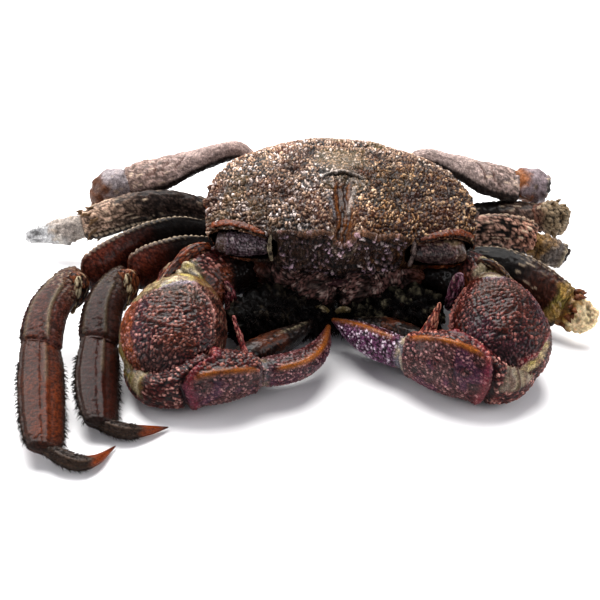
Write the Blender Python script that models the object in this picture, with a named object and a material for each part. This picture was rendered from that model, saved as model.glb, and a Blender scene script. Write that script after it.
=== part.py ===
"""A salted mangrove crab, whole, as it lies on a table with its face to the front.

Sizes are in millimetres and become metres where a mesh is made. X runs to the right of someone who
looks the crab in the face, Y runs from its mouth to its tail end, and Z is up. "left" and "right" are
that onlooker's. Each plate of the shell that hinges on the next one is an object of its own.
"""

import math

import bpy
import numpy as np

MM = 0.001
CLEARANCE = 0.35  # gap between two plates that nest in each other

# Body.
SHELL_WIDTH = 42.0  # across the outer teeth of the eye sockets
FRONT_Y = -18.3  # middle of the brow
REAR_Y = 17.6
CROWN_Z = 22.0
SEAM_Z = 8.4  # where the upper shell meets the underside
BROW_Z = 18.4
PLATE_HALF = 10.0  # the brow's turned-down plate, from its middle to its side
SOCKET_X, SOCKET_Z = 15.6, 15.1  # middle of an eye socket

# The exact solver returns nothing for these two once several limbs are seated in them.
EXACT_LOSES = ("carapace", "underside")

# Resolution of the faceted solids.
BODY_CELLS = 16
WALL_ROWS = 5
RINGS, SIDES = 9, 12


def clear_scene():
    for obj in list(bpy.data.objects):
        bpy.data.objects.remove(obj, do_unlink=True)


def finish_of(name, colour, roughness):
    """A plain material of that name, made once."""
    material = bpy.data.materials.get(name)
    if material is None:
        material = bpy.data.materials.new(name)
        material.use_nodes = True
        shader = material.node_tree.nodes["Principled BSDF"]
        shader.inputs["Base Color"].default_value = (*colour, 1.0)
        shader.inputs["Roughness"].default_value = roughness
    return material


SHELL = ("shell", (0.10, 0.062, 0.040), 0.40)
UNDERSIDE = ("underside", (0.19, 0.14, 0.09), 0.50)
CLAW = ("claw", (0.16, 0.050, 0.052), 0.38)
LEG = ("leg", (0.12, 0.060, 0.038), 0.42)
EYE = ("eye", (0.040, 0.034, 0.036), 0.30)
FLESH = ("flesh", (0.45, 0.33, 0.14), 0.50)


def make(name, points, faces, finish):
    """One named object from points in millimetres."""
    mesh = bpy.data.meshes.new(name)
    mesh.from_pydata([tuple(p) for p in np.asarray(points) * MM], [], faces)
    mesh.update()
    mesh.shade_smooth()
    mesh.set_sharp_from_angle(angle=math.radians(40))
    obj = bpy.data.objects.new(name, mesh)
    bpy.context.scene.collection.objects.link(obj)
    mesh.materials.append(finish_of(*finish))
    return obj


def through(knots, t):
    """Values at t, from 0 to 1, of a smooth curve through evenly spaced knots."""
    knots = np.asarray(knots, float)
    last = len(knots) - 1
    place = np.clip(np.asarray(t, float), 0, 1) * last
    i = np.minimum(place.astype(int), last - 1)
    f = place - i
    if knots.ndim > 1:
        f = f[..., None]
    a, b = knots[np.maximum(i - 1, 0)], knots[i]
    c, d = knots[i + 1], knots[np.minimum(i + 2, last)]
    return b + 0.5 * f * (c - a + f * (2 * a - 5 * b + 4 * c - d + f * (3 * (b - c) + d - a)))


def bump(x, middle, reach):
    """1 at the middle, falling smoothly to nothing a few reaches away."""
    return np.exp(-(((x - middle) / reach) ** 2))


def rise(x, low, high):
    """0 below low, 1 above high and smooth between them."""
    t = np.clip((x - low) / (high - low), 0, 1)
    return t * t * (3 - 2 * t)


# ---------------------------------------------------------------- tubes: limbs, eyes and mouthparts


def tube(path, height, depth, crest, corner=2.0, blunt=(3.5, 3.5), ridges=(), rings=RINGS, sides=SIDES):
    """Points and faces of one closed, blunt-ended shell segment.

    path is its middle line. height is its size along crest and depth its size across, each a list of
    values from the start to the end. corner 2 makes the section an ellipse, less makes it a lens with
    its edges on the crest side and opposite, more makes it boxy. Each ridge is (angle from the crest in
    degrees, height as a share of the radius, width in degrees).
    """
    path = np.asarray(path, float)
    t = 0.5 * (1 - np.cos(math.pi * np.arange(1, rings + 1) / (rings + 1)))
    middle = through(path, t)
    tangent = through(path, t + 0.01) - through(path, t - 0.01)
    tangent /= np.linalg.norm(tangent, axis=1)[:, None]
    up = np.asarray(crest, float)
    if up.ndim > 1:
        up = through(up, t)
    up = up - (up * tangent).sum(1)[:, None] * tangent
    up /= np.linalg.norm(up, axis=1)[:, None]
    side = np.cross(tangent, up)
    power = np.where(t < 0.5, blunt[0], blunt[1])
    taper = (1 - np.abs(2 * t - 1) ** power) ** (1 / power)
    angle = 2 * math.pi * np.arange(sides) / sides
    swell = np.ones(sides)
    for where, share, reach in ridges:
        away = (np.degrees(angle) - where + 180) % 360 - 180
        swell += share * np.exp(-((away / reach) ** 2))
    round_up = np.sign(np.cos(angle)) * np.abs(np.cos(angle)) ** (2 / corner) * swell
    round_side = np.sign(np.sin(angle)) * np.abs(np.sin(angle)) ** (2 / corner) * swell
    tall = (through(height, t) / 2 * taper)[:, None, None]
    deep = (through(depth, t) / 2 * taper)[:, None, None]
    rows = (middle[:, None, :] + tall * round_up[:, None] * up[:, None, :]
            + deep * round_side[:, None] * side[:, None, :])
    points = np.vstack([path[0], rows.reshape(-1, 3), path[-1]])
    faces = []
    for j in range(sides):
        k = (j + 1) % sides
        faces.append((0, 1 + k, 1 + j))
        for r in range(rings - 1):
            a = 1 + r * sides
            faces.append((a + j, a + k, a + sides + k, a + sides + j))
        end = 1 + (rings - 1) * sides
        faces.append((len(points) - 1, end + j, end + k))
    return points, faces


def swollen(points, faces, by=CLEARANCE):
    """The same skin moved outward by that much."""
    outward = np.zeros_like(points)
    for face in faces:
        a, b, c = points[face[0]], points[face[1]], points[face[2]]
        normal = np.cross(b - a, c - a)
        for index in face:
            outward[index] += normal
    outward /= np.linalg.norm(outward, axis=1)[:, None]
    return points + by * outward, faces


def guide(name, points, faces):
    """A shape that only cuts others: it isn't part of the crab."""
    obj = make(name, points, faces, SHELL)
    obj.hide_render = True
    obj.display_type = "WIRE"
    return obj


def cut(obj, cutter, operation="DIFFERENCE"):
    boolean = obj.modifiers.new(cutter.name, "BOOLEAN")
    boolean.operation = operation
    boolean.object = cutter
    boolean.solver = "MANIFOLD" if obj.name in EXACT_LOSES else "EXACT"


def nest(holders, name, finish, **segment):
    """Makes a segment and hollows its seat, a clearance wider, out of the plates that hold it."""
    inner = make(name, *tube(**segment), finish)
    for holder in holders:
        cut(holder, guide(f"seat_{name}_{holder.name}", *swollen(*tube(**segment))))
    return inner


# ---------------------------------------------------------------- body


def box_skin(cells, rows, place):
    """A closed skin with the layout of a box. place turns (a, b, c), each from -1 to 1, into a point."""
    index, corners = {}, []

    def point(i, j, k):
        key = (i, j, k)
        if key not in index:
            index[key] = len(corners)
            corners.append((2 * i / cells - 1, 2 * j / cells - 1, 2 * k / rows - 1))
        return index[key]

    faces = []
    for i in range(cells):
        for j in range(cells):
            faces.append((point(i, j, rows), point(i + 1, j, rows), point(i + 1, j + 1, rows),
                          point(i, j + 1, rows)))
            faces.append((point(i, j, 0), point(i, j + 1, 0), point(i + 1, j + 1, 0), point(i + 1, j, 0)))
        for k in range(rows):
            faces.append((point(i, 0, k), point(i + 1, 0, k), point(i + 1, 0, k + 1), point(i, 0, k + 1)))
            faces.append((point(i + 1, cells, k), point(i, cells, k), point(i, cells, k + 1),
                          point(i + 1, cells, k + 1)))
            faces.append((point(0, i + 1, k), point(0, i, k), point(0, i, k + 1), point(0, i + 1, k + 1)))
            faces.append((point(cells, i, k), point(cells, i + 1, k), point(cells, i + 1, k + 1),
                          point(cells, i, k + 1)))
    a, b, c = np.array(corners).T
    return place(a, b, c), faces


# Half the shell's width from the brow to the rear edge, as a share of the largest.
SHELL_PLAN = (0.985, 1.0, 0.985, 0.93, 0.84, 0.71, 0.56, 0.40)


def shell_top(x, y, a, b):
    """Height of the upper shell: a low dome that falls to the rear, furrowed behind the brow."""
    front = np.clip(-b, 0, 1)
    z = CROWN_Z - (3.3 - 1.6 * front) * np.abs(a) ** 3
    z = z - (CROWN_Z - BROW_Z) * front ** 3 - 9.4 * np.clip(b, 0, 1) ** 2.1
    z = z - 1.7 * rise(-y, 3.5, 10.0) * bump(x, 0, 1.3)
    lobes = bump(np.abs(x), 3.2, 1.7) + 0.8 * bump(np.abs(x), 8, 1.8)
    z = z + 0.9 * lobes * rise(-y, 11, 16.5)
    saddle = bump(np.abs(x), 8.5, 2.2) * bump(y, 1.5, 5.0) + bump(y, 4.5, 1.6) * bump(x, 0, 6.0)
    return z - 0.7 * saddle


def shell_point(a, b, c):
    """The upper shell, from its crown down to the seam."""
    share = (c + 1) / 2
    brow_y = FRONT_Y + 2.0 * np.abs(a) ** 2.2
    rear_y = REAR_Y - 2.4 * np.abs(a) ** 2
    y = brow_y + (rear_y - brow_y) * (b + 1) / 2
    x = a * SHELL_WIDTH / 2 * through(SHELL_PLAN, (b + 1) / 2)
    rim_z = shell_top(x, y, a, b)
    low = 1 - share
    facing = np.clip(-b, 0, 1) ** 8
    beside_plate = rise(np.abs(x), PLATE_HALF - 1, PLATE_HALF + 3)
    tuck = facing * (1.0 * low + rise(low, 0.62, 0.80) * 1.3 + 1.6 * beside_plate * rise(low, 0.5, 1.0))
    x = x * (1 - 0.19 * low ** 1.4)
    y = y * np.where(b > 0, 1 - 0.17 * low ** 1.5, 1 - 0.02 * low) + tuck
    return np.column_stack([x, y, SEAM_Z + (rim_z - SEAM_Z) * share])


def upper_shell():
    return make("carapace", *box_skin(BODY_CELLS, WALL_ROWS, shell_point), SHELL)


def eye_socket(shell, word, side):
    """The hollow under the brow in which an eyestalk lies folded."""
    x = side * SOCKET_X
    cut(shell, guide(f"socket_{word}", *tube(
        path=[(x - side * 5.8, -17.4, SOCKET_Z), (x, -17.3, SOCKET_Z), (x + side * 4.9, -16.4, SOCKET_Z)],
        height=[4.6, 5.6, 5.0], depth=[6.6, 7.8, 7.0], crest=(0, 0, 1), rings=8, sides=12)))


def eyestalk(word, side):
    x = side * SOCKET_X
    return make(f"eyestalk_{word}", *tube(
        path=[(x - side * 4.7, -16.3, SOCKET_Z), (x, -16.1, SOCKET_Z - 0.2),
              (x + side * 3.7, -15.4, SOCKET_Z - 0.2)],
        height=[3.2, 3.8, 3.8, 4.0], depth=[2.8, 3.3, 3.2, 3.4], crest=(0, 0, 1), rings=8, sides=10), EYE)


# Half the underside's width from front to rear, and half the tail flap's along the same way.
UNDER_PLAN = (14.6, 15.6, 15.8, 15.4, 14.4, 12.4, 9.0)
FLAP_PLAN = (2.0, 2.2, 3.4, 4.6, 5.6, 6.2, 6.0)
FLAP_DEPTH = 0.7


def under_point(a, b, c):
    """The breastplate, with the tail flap lying flat in its middle.

    The second and third lines of points from the middle run along the foot and the top of the flap's
    edge, and so do two of the lines across it at its tip.
    """
    share = (c + 1) / 2
    along = np.interp(b, [-1, -0.8, -0.6, 1], [-1, -0.74, -0.68, 1])
    half = through(UNDER_PLAN, (along + 1) / 2) * (0.76 + 0.24 * share)
    flap_half = through(FLAP_PLAN, (along + 1) / 2)
    across = np.abs(a)
    inner = flap_half * across / 0.4
    outer = flap_half + 0.4 + (half - flap_half - 0.4) * (across - 0.6) / 0.4
    x = np.sign(a) * np.where(across < 0.5, inner, outer)
    y = (0.4 + 15.0 * along) * (0.84 + 0.16 * share)
    flap = (across < 0.5) & (b > -0.7)
    rim = np.maximum(across, np.abs(b)) ** 5
    floor = np.where(flap, 0.0, FLAP_DEPTH + 1.8 * rim)
    return np.column_stack([x, y, floor + (SEAM_Z - CLEARANCE - floor) * share])


# Where each limb leaves the body, for a side of 1, and how thick its base is there.
HIPS = {
    "claw": (11.6, -10.4, 5.2, 5.0),
    "leg_1": (13.6, -5.8, 5.2, 5.0),
    "leg_2": (14.4, -0.4, 5.0, 5.2),
    "leg_3": (13.8, 5.4, 5.0, 5.0),
    "leg_4": (11.2, 10.8, 5.0, 4.8),
}
HIP_LENGTH = 6.5


def underside():
    """The breastplate and, joined to it, the base of every limb."""
    under = make("underside", *box_skin(10, 3, under_point), UNDERSIDE)
    for word, side in (("left", -1), ("right", 1)):
        for limb, (x, y, z, thick) in HIPS.items():
            middle = np.array([side * x, y, z])
            out = np.array([side * x, 0.45 * y, 0.0])
            out *= HIP_LENGTH / 2 / np.linalg.norm(out)
            cut(under, guide(f"hip_{limb}_{word}", *tube(
                path=[middle - out, middle, middle + out], height=[thick * 0.9, thick, thick * 0.95],
                depth=[thick * 0.85, thick * 0.95, thick * 0.9], crest=(0, 0, 1), rings=4, sides=8)), "UNION")
    return under


def mouthpart(body, word, side):
    """One outer mouth plate, hanging from the mouth's frame."""
    nest(body, name=f"mouthpart_{word}", finish=UNDERSIDE,
         path=[(side * 3.8, -15.8, 10.2), (side * 3.6, -16.4, 6.6), (side * 3.2, -15.4, 2.4)],
         height=[6.2, 6.8, 5.2], depth=[2.2, 2.8, 2.4], crest=(side, 0, 0), corner=2.6, rings=8, sides=12)


# ---------------------------------------------------------------- claws

CLAWS = {
    "left": dict(
        side=-1,
        arm=[(-11.0, -10.6, 6.8), (-18.4, -14.8, 8.2), (-25.4, -21.2, 8.0)],
        arm_height=[5.0, 8.0, 10.6, 10.8],
        arm_depth=[4.6, 6.4, 9.4, 11.2],
        wrist=[(-22.8, -19.4, 10.2), (-24.8, -28.0, 7.1), (-27.0, -38.4, 4.9)],
        wrist_height=[8.0, 12.8, 13.0, 9.6],
        wrist_breadth=[9.0, 14.4, 15.8, 12.6],
        palm=[(-31.2, -33.6, 3.6), (-27.4, -38.2, 3.5), (-19.2, -37.0, 4.8), (-11.9, -35.5, 4.9)],
        palm_height=[5.0, 6.6, 9.8, 7.4],
        palm_crest=(0.1, -0.7, 0.7),
        finger=[(-13.0, -35.8, 4.8), (-6.4, -33.0, 4.6), (-3.0, -28.9, 4.7), (-1.5, -23.8, 5.5)],
        fixed=[(-16.6, -34.2, 4.8), (-11.4, -29.0, 4.4), (-7.0, -25.2, 4.4), (-4.0, -21.8, 4.9)],
    ),
    "right": dict(
        side=1,
        arm=[(11.0, -10.6, 6.8), (17.6, -12.6, 8.2), (24.0, -16.4, 7.8)],
        arm_height=[5.0, 8.0, 10.0, 10.4],
        arm_depth=[4.6, 7.0, 9.0, 9.6],
        wrist=[(23.0, -15.8, 10.2), (24.2, -23.8, 7.15), (26.2, -34.2, 4.9)],
        wrist_height=[8.0, 12.8, 13.0, 9.6],
        wrist_breadth=[5.5, 12.4, 15.4, 13.0],
        palm=[(29.6, -29.0, 3.6), (24.8, -34.2, 3.8), (17.2, -32.6, 5.6), (9.8, -29.4, 5.0)],
        palm_height=[5.2, 7.0, 10.8, 7.8],
        palm_crest=(0.0, -0.35, 0.94),
        finger=[(10.6, -29.8, 4.9), (5.6, -26.7, 4.8), (2.2, -24.0, 4.8), (-0.8, -21.7, 5.2)],
        fixed=[(14.0, -27.6, 4.6), (8.9, -23.4, 3.9), (5.2, -21.4, 3.8), (1.8, -20.0, 4.1)],
    ),
}


def build_claw(word, body, form):
    """Arm, wrist, palm with its fixed finger, and moving finger."""
    arm = nest(body, name=f"claw_arm_{word}", finish=CLAW, path=form["arm"], height=form["arm_height"],
               depth=form["arm_depth"], crest=(-0.4 * form["side"], 0.3, 1), corner=1.8, blunt=(3.5, 4.5))
    wrist = dict(path=form["wrist"], height=form["wrist_height"], depth=form["wrist_breadth"],
                 crest=(0, 0, 1), corner=2.1, blunt=(2.2, 2.8), rings=11, sides=16)
    nest([arm], name=f"claw_wrist_{word}", finish=CLAW, **wrist)
    high = form["palm_height"]
    palm = nest([arm], name=f"claw_palm_{word}", finish=CLAW, path=form["palm"], height=high,
                depth=[high[0] * 0.9, high[1] * 0.86, high[2] * 0.82, high[3] * 0.78],
                crest=form["palm_crest"], ridges=[(0, 0.07, 14)], blunt=(2.8, 5.0), rings=12, sides=16)
    cut(palm, guide(f"palm_seat_{word}", *swollen(*tube(**wrist))))
    cut(palm, guide(f"fixed_finger_{word}", *tube(
        path=form["fixed"], height=[6.4, 6.2, 4.6, 2.0], depth=[4.8, 4.4, 3.4, 1.8],
        crest=form["palm_crest"], blunt=(3.0, 2.0), rings=8, sides=10)), "UNION")
    nest([palm], name=f"claw_finger_{word}", finish=CLAW, path=form["finger"], height=[6.0, 5.8, 3.9, 1.5],
         depth=[4.6, 4.4, 3.2, 1.4], crest=form["palm_crest"], corner=1.9, ridges=[(0, 0.08, 16)],
         blunt=(5.0, 2.2), rings=10, sides=12)


# ---------------------------------------------------------------- walking legs


def thigh(holders, name, path, crest, height, depth=3.6):
    """The long flat first plate, keeled above and below, with a narrow neck at the body."""
    return nest(holders, name=name, finish=LEG, path=path, height=[min(height) * 0.7, *height], crest=crest,
                depth=[depth * 0.8, depth, depth, depth * 1.05], corner=1.7, blunt=(4.0, 6.0))


def stump(holder, name, path, crest, height, depth, finish=LEG):
    """What is left of a plate that has snapped off past the knee."""
    return nest([holder], name=name, finish=finish, path=path, height=height, depth=depth, crest=crest,
                corner=2.2, blunt=(3.0, 4.0), rings=7)


def whole_leg(under, word, form):
    """A leg with all four plates, its knee raised and its point turned in."""
    held = thigh([under], f"leg_{word}_thigh", form["thigh"], form["thigh_crest"], form["thigh_height"])
    held = nest([held], name=f"leg_{word}_knee", finish=LEG, path=form["knee"], height=form["knee_height"],
                depth=[2.8, 3.5, 3.5], crest=form["shin_crest"], corner=1.9, blunt=(2.6, 6.0))
    held = nest([held], name=f"leg_{word}_shin", finish=LEG, path=form["shin"], height=form["shin_height"],
                depth=[2.8, 3.3, 2.9], crest=form["shin_crest"], corner=2.0, blunt=(5.0, 3.6))
    nest([held], name=f"leg_{word}_toe", finish=LEG, path=form["toe"], height=form["toe_height"],
         depth=[2.2, 2.3, 1.5, 0.5], crest=form["toe_crest"], corner=1.8, blunt=(3.0, 2.2), sides=10)


WHOLE_LEGS = {
    "left_1": dict(
        thigh=[(-15.0, -6.6, 5.4), (-24.2, -9.8, 7.6), (-32.4, -15.6, 8.3)],
        thigh_crest=(-0.1, 0.3, 1), thigh_height=[6.4, 6.8, 6.4],
        knee=[(-33.2, -15.2, 8.6), (-35.9, -23.2, 6.9), (-36.3, -30.0, 4.6)], knee_height=[4.4, 5.9, 6.4],
        shin=[(-36.2, -29.2, 4.9), (-36.0, -38.4, 3.4), (-35.0, -46.2, 2.4)], shin_height=[6.0, 6.6, 5.6],
        shin_crest=(-1, 0.1, 0.4),
        toe=[(-36.0, -45.2, 2.4), (-31.6, -46.2, 1.5), (-28.2, -45.4, 1.1), (-25.1, -43.7, 0.5)],
        toe_height=[2.6, 2.9, 1.9, 0.6], toe_crest=(-0.1, -1, 0.3)),
    "left_2": dict(
        thigh=[(-15.6, -1.8, 5.2), (-27.6, -6.6, 8.5), (-39.4, -16.6, 8.2)],
        thigh_crest=(-0.1, 0.3, 1), thigh_height=[6.8, 7.2, 6.6],
        knee=[(-40.3, -15.6, 8.4), (-44.2, -24.4, 6.9), (-44.9, -31.6, 4.7)], knee_height=[4.8, 6.0, 6.8],
        shin=[(-44.8, -30.8, 5.0), (-43.8, -42.2, 3.6), (-42.5, -52.6, 2.5)], shin_height=[6.6, 7.0, 6.2],
        shin_crest=(-1, 0.1, 0.4),
        toe=[(-43.2, -51.2, 2.5), (-38.2, -53.5, 1.5), (-35.1, -52.4, 1.1), (-32.5, -48.4, 0.5)],
        toe_height=[3.0, 3.3, 2.2, 0.6], toe_crest=(-0.3, -1, 0.3)),
}

BROKEN_LEGS = {
    "left_3": dict(
        thigh=[(-15.2, 5.4, 5.2), (-28.6, 4.2, 8.2), (-41.2, 0.3, 6.2)],
        thigh_crest=(0, 0.4, 1), thigh_height=[5.0, 5.8, 5.4],
        stump=[(-39.4, 0.9, 6.3), (-45.6, 1.1, 4.3), (-50.9, 1.4, 3.1)],
        stump_crest=(0, 0.4, 1), stump_height=[3.8, 4.4, 2.8], stump_depth=[2.8, 3.4, 2.4]),
    "left_4": dict(
        thigh=[(-12.2, 12.8, 6.2), (-15.8, 13.6, 13.6), (-21.8, 12.1, 13.0), (-28.0, 10.3, 11.1), (-34.6, 8.5, 9.8)],
        thigh_crest=(-0.15, 0.85, 0.45), thigh_height=[3.4, 3.4, 4.6, 6.2, 6.4],
        stump=[(-34.0, 8.8, 10.3), (-36.8, 8.2, 8.4), (-37.6, 8.0, 4.6)],
        stump_crest=[(-0.68, 0, 0.73), (-0.9, 0, 0.45), (-1, 0, 0.2)],
        stump_height=[5.4, 6.8, 6.4], stump_depth=[4.6, 5.0, 4.2]),
    "right_1": dict(
        thigh=[(15.0, -6.2, 5.4), (26.4, -9.2, 7.0), (36.2, -15.8, 4.8)],
        thigh_crest=(0.3, 0.5, 1), thigh_height=[6.6, 7.8, 7.8], thigh_depth=4.4,
        stump=[(34.6, -14.9, 5.0), (38.4, -16.6, 4.2), (41.0, -18.0, 3.4)],
        stump_crest=(0.3, 0.5, 1), stump_height=[5.6, 6.2, 4.4], stump_depth=[3.0, 3.2, 2.6], finish=FLESH),
    "right_2": dict(
        thigh=[(15.6, -0.8, 5.2), (24.6, -0.7, 8.6), (32.7, -0.2, 7.6)],
        thigh_crest=(0, 0.3, 1), thigh_height=[5.8, 6.4, 5.6],
        stump=[(31.0, -0.3, 7.6), (35.4, -0.9, 5.9), (38.6, -1.0, 4.5)],
        stump_crest=(0, 0.4, 1), stump_height=[3.8, 4.6, 3.8], stump_depth=[2.8, 3.2, 2.4]),
    "right_3": dict(
        thigh=[(15.2, 5.4, 5.0), (25.4, 8.8, 5.4), (35.0, 8.7, 6.2)],
        thigh_crest=(0, 0.6, 0.8), thigh_height=[5.0, 5.6, 5.0],
        stump=[(33.4, 8.8, 6.2), (36.8, 8.1, 6.6), (39.9, 7.8, 6.2)],
        stump_crest=(0, 0.4, 1), stump_height=[4.0, 5.6, 4.2], stump_depth=[3.4, 4.4, 3.4]),
    "right_4": dict(
        thigh=[(12.2, 12.8, 6.2), (14.4, 13.9, 13.5), (20.2, 13.3, 12.8), (25.6, 12.8, 11.0), (31.4, 12.3, 9.8)],
        thigh_crest=(0.1, 0.85, 0.45), thigh_height=[3.4, 3.4, 4.8, 6.6, 6.6],
        stump=[(29.6, 12.8, 10.0), (33.4, 13.5, 9.4), (36.6, 13.6, 8.7)],
        stump_crest=(0, 0.7, 0.7), stump_height=[4.6, 6.0, 5.2], stump_depth=[4.2, 5.4, 4.8]),
}


def build_legs(under, shell):
    for word, form in WHOLE_LEGS.items():
        whole_leg(under, word, form)
    for word, form in BROKEN_LEGS.items():
        holders = [under, shell] if word.endswith("4") else [under]
        held = thigh(holders, f"leg_{word}_thigh", form["thigh"], form["thigh_crest"], form["thigh_height"],
                     form.get("thigh_depth", 3.6))
        stump(held, f"leg_{word}_stump", form["stump"], form["stump_crest"], form["stump_height"],
              form["stump_depth"], form.get("finish", LEG))


def settle():
    """Moves the whole crab so that the origin is under the middle of its outline, on the table."""
    graph = bpy.context.evaluated_depsgraph_get()
    corners = []
    for obj in bpy.data.objects:
        if not obj.hide_render:
            corners += [v.co[:] for v in obj.evaluated_get(graph).data.vertices]
    low, high = np.min(corners, axis=0), np.max(corners, axis=0)
    shift = np.array([(low[0] + high[0]) / 2, (low[1] + high[1]) / 2, low[2]])
    for obj in bpy.data.objects:
        obj.location = tuple(-shift)
    print("origin, in the crab's own millimetres:", np.round(shift / MM, 3))
    print("size in millimetres:", np.round((high - low) / MM, 2))


def build():
    clear_scene()
    shell = upper_shell()
    under = underside()
    body = [under, shell]
    for word, side in (("left", -1), ("right", 1)):
        eye_socket(shell, word, side)
        eyestalk(word, side)
        mouthpart(body, word, side)
    for word, form in CLAWS.items():
        build_claw(word, body, form)
    build_legs(under, shell)
    bpy.context.view_layer.update()
    settle()


build()
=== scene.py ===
# %% [markdown]
# # A salted mangrove crab, dressed plate by plate
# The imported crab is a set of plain, faceted plates that have the right sizes and places. On the real animal
# each plate is thick with grains, beads, creases and bristles, and wet from the brine. Here every plate is
# made again, much finer, from the same measures. Its grains are pushed out of the skin as real relief, and
# its colours are painted on the points of the mesh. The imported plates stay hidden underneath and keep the
# crab's place and size.

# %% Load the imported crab
import math
from itertools import product
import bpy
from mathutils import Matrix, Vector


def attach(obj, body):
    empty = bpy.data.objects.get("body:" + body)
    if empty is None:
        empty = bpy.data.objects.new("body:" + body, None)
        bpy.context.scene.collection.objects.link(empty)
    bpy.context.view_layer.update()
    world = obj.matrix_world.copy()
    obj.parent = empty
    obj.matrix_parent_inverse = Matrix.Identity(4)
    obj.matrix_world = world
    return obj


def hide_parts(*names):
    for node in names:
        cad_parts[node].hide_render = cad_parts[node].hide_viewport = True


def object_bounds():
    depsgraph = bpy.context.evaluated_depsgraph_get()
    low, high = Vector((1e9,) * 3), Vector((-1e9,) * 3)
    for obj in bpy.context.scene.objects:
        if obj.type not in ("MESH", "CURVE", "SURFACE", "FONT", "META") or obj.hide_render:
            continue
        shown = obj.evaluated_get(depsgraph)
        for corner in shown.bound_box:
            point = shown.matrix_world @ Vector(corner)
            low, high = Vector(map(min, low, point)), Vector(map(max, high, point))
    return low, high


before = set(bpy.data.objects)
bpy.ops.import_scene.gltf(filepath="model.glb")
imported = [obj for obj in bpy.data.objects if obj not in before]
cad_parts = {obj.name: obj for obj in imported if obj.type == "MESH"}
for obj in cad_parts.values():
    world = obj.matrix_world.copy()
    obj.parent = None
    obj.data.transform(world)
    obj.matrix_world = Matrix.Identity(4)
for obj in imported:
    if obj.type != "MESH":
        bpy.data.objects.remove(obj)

from types import SimpleNamespace

import bpy
import numpy as np

cad_box = [list(corner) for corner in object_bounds()]
print("packed crab:", len(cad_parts), "plates, from", cad_box[0], "to", cad_box[1])

# %% [markdown]
# Lengths are written in millimetres, measured from the middle of the crab's own shell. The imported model's
# origin lies under the middle of the whole outline, so points move by a fixed step and become metres when a
# mesh is made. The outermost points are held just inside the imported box.

# %% From the crab's own millimetres to the model's metres
MM = 0.001
OUTLINE_MIDDLE = np.array([-4.609, -18.745, 0.0])
INSET = 0.00001


def to_model(points):
    """Points in the crab's millimetres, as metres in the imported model's frame."""
    low, high = np.array(cad_box)
    return np.clip((points - OUTLINE_MIDDLE) * MM, low + INSET, high - INSET)


print("the middle of the shell is at", to_model(np.zeros(3)), "m")

# %% [markdown]
# A plate's outline could be hundreds of points. A few knots joined by a smooth curve are easier to change.
# Bumps and steps are the other two shapes used everywhere.

# %% Curves, bumps and steps
def through(knots, t):
    """Values at t, from 0 to 1, of a smooth curve through evenly spaced knots."""
    knots = np.asarray(knots, float)
    last = len(knots) - 1
    place = np.clip(np.asarray(t, float), 0, 1) * last
    i = np.minimum(place.astype(int), last - 1)
    f = place - i
    if knots.ndim > 1:
        f = f[..., None]
    a, b = knots[np.maximum(i - 1, 0)], knots[i]
    c, d = knots[i + 1], knots[np.minimum(i + 2, last)]
    return b + 0.5 * f * (c - a + f * (2 * a - 5 * b + 4 * c - d + f * (3 * (b - c) + d - a)))


def bump(x, middle, reach):
    """1 at the middle, falling smoothly to nothing a few reaches away."""
    return np.exp(-(((x - middle) / reach) ** 2))


def rise(x, low, high):
    """0 below low, 1 above high and smooth between them."""
    t = np.clip((x - low) / (high - low), 0, 1)
    return t * t * (3 - 2 * t)


def between(x, low, high, soft):
    """1 from low to high, fading out over a soft edge."""
    return rise(x, low - soft, low + soft) * (1 - rise(x, high - soft, high + soft))


print("a quarter of the way along a curve through 0, 2 and 1:", through([0, 2, 1], 0.25))

# %% [markdown]
# The grains of a crab's shell lie close together, each a little pillow with a dark groove round it. A cell
# pattern gives that: seats are scattered one to a cell, and each point of the skin belongs to the nearest
# seat. The difference between the two nearest seats is nothing in the groove and grows towards the middle
# of a grain.

# %% Dice and grains
GROOVE_SHARE = 0.55  # how far a grain's edge slopes, as a share of the way to the next seat


def dice(cell, salt):
    """A chance number from 0 to 1 for each cell, the same on every run."""
    n = (cell * np.array([73856093, 19349663, 83492791])).sum(-1) + salt * 15485863 & 0x7FFFFFFF
    n = (n ^ n >> 13) * 1274126177 & 0x7FFFFFFF
    n = (n ^ n >> 15) * 1103515245 & 0x7FFFFFFF
    return (n ^ n >> 14) % 65536 / 65535


def grains(points, size, salt=0):
    """(pillow, own): each point's height on its grain, 0 in the groove to 1, and the grain's number."""
    places = points / size
    base = np.floor(places).astype(np.int64)
    near = np.full(len(points), 9.0)
    second, own = near.copy(), near * 0
    for step in product((-1, 0, 1), repeat=3):
        cell = base + step
        seat = cell + 0.12 + 0.76 * np.stack([dice(cell, salt + k) for k in range(3)], -1)
        away = ((seat - places) ** 2).sum(-1)
        closer = away < near
        second = np.where(closer, near, np.minimum(second, away))
        own = np.where(closer, dice(cell, salt + 3), own)
        near = np.where(closer, away, near)
    edge = np.clip((np.sqrt(second) - np.sqrt(near)) / GROOVE_SHARE, 0, 1)
    return 1 - (1 - edge) ** 2, own


sample_line = np.linspace(0, 20, 400)[:, None] * (1, 0, 0)
print("mean height of grains of 0.6 mm:", grains(sample_line, 0.6)[0].mean())

# %% [markdown]
# Nothing on an animal is laid out evenly. Slow drifts, smooth noise from the same dice, vary the colours
# and heights, and they stir the points before the grains are laid, so that the rows wind.

# %% Slow drifts
def drift(points, size, salt=0):
    """Slow random swells about that far apart, from -1 to 1."""
    total = 0
    for octave in range(3):
        places = points * 2 ** octave / size
        base = np.floor(places).astype(np.int64)
        f = places - base
        f = f * f * (3 - 2 * f)
        for corner in product((0, 1), repeat=3):
            weight = np.prod(np.where(np.array(corner, bool), f, 1 - f), -1)
            total = total + 0.55 ** octave * weight * (2 * dice(base + np.array(corner), salt + octave) - 1)
    return total / 1.2


def stirred(points, size, reach, salt=0):
    """The points pushed about by slow drifts, so that what is laid on them winds a little."""
    return points + reach * np.stack([drift(points, size, salt + 7 * k) for k in range(3)], -1)


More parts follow.
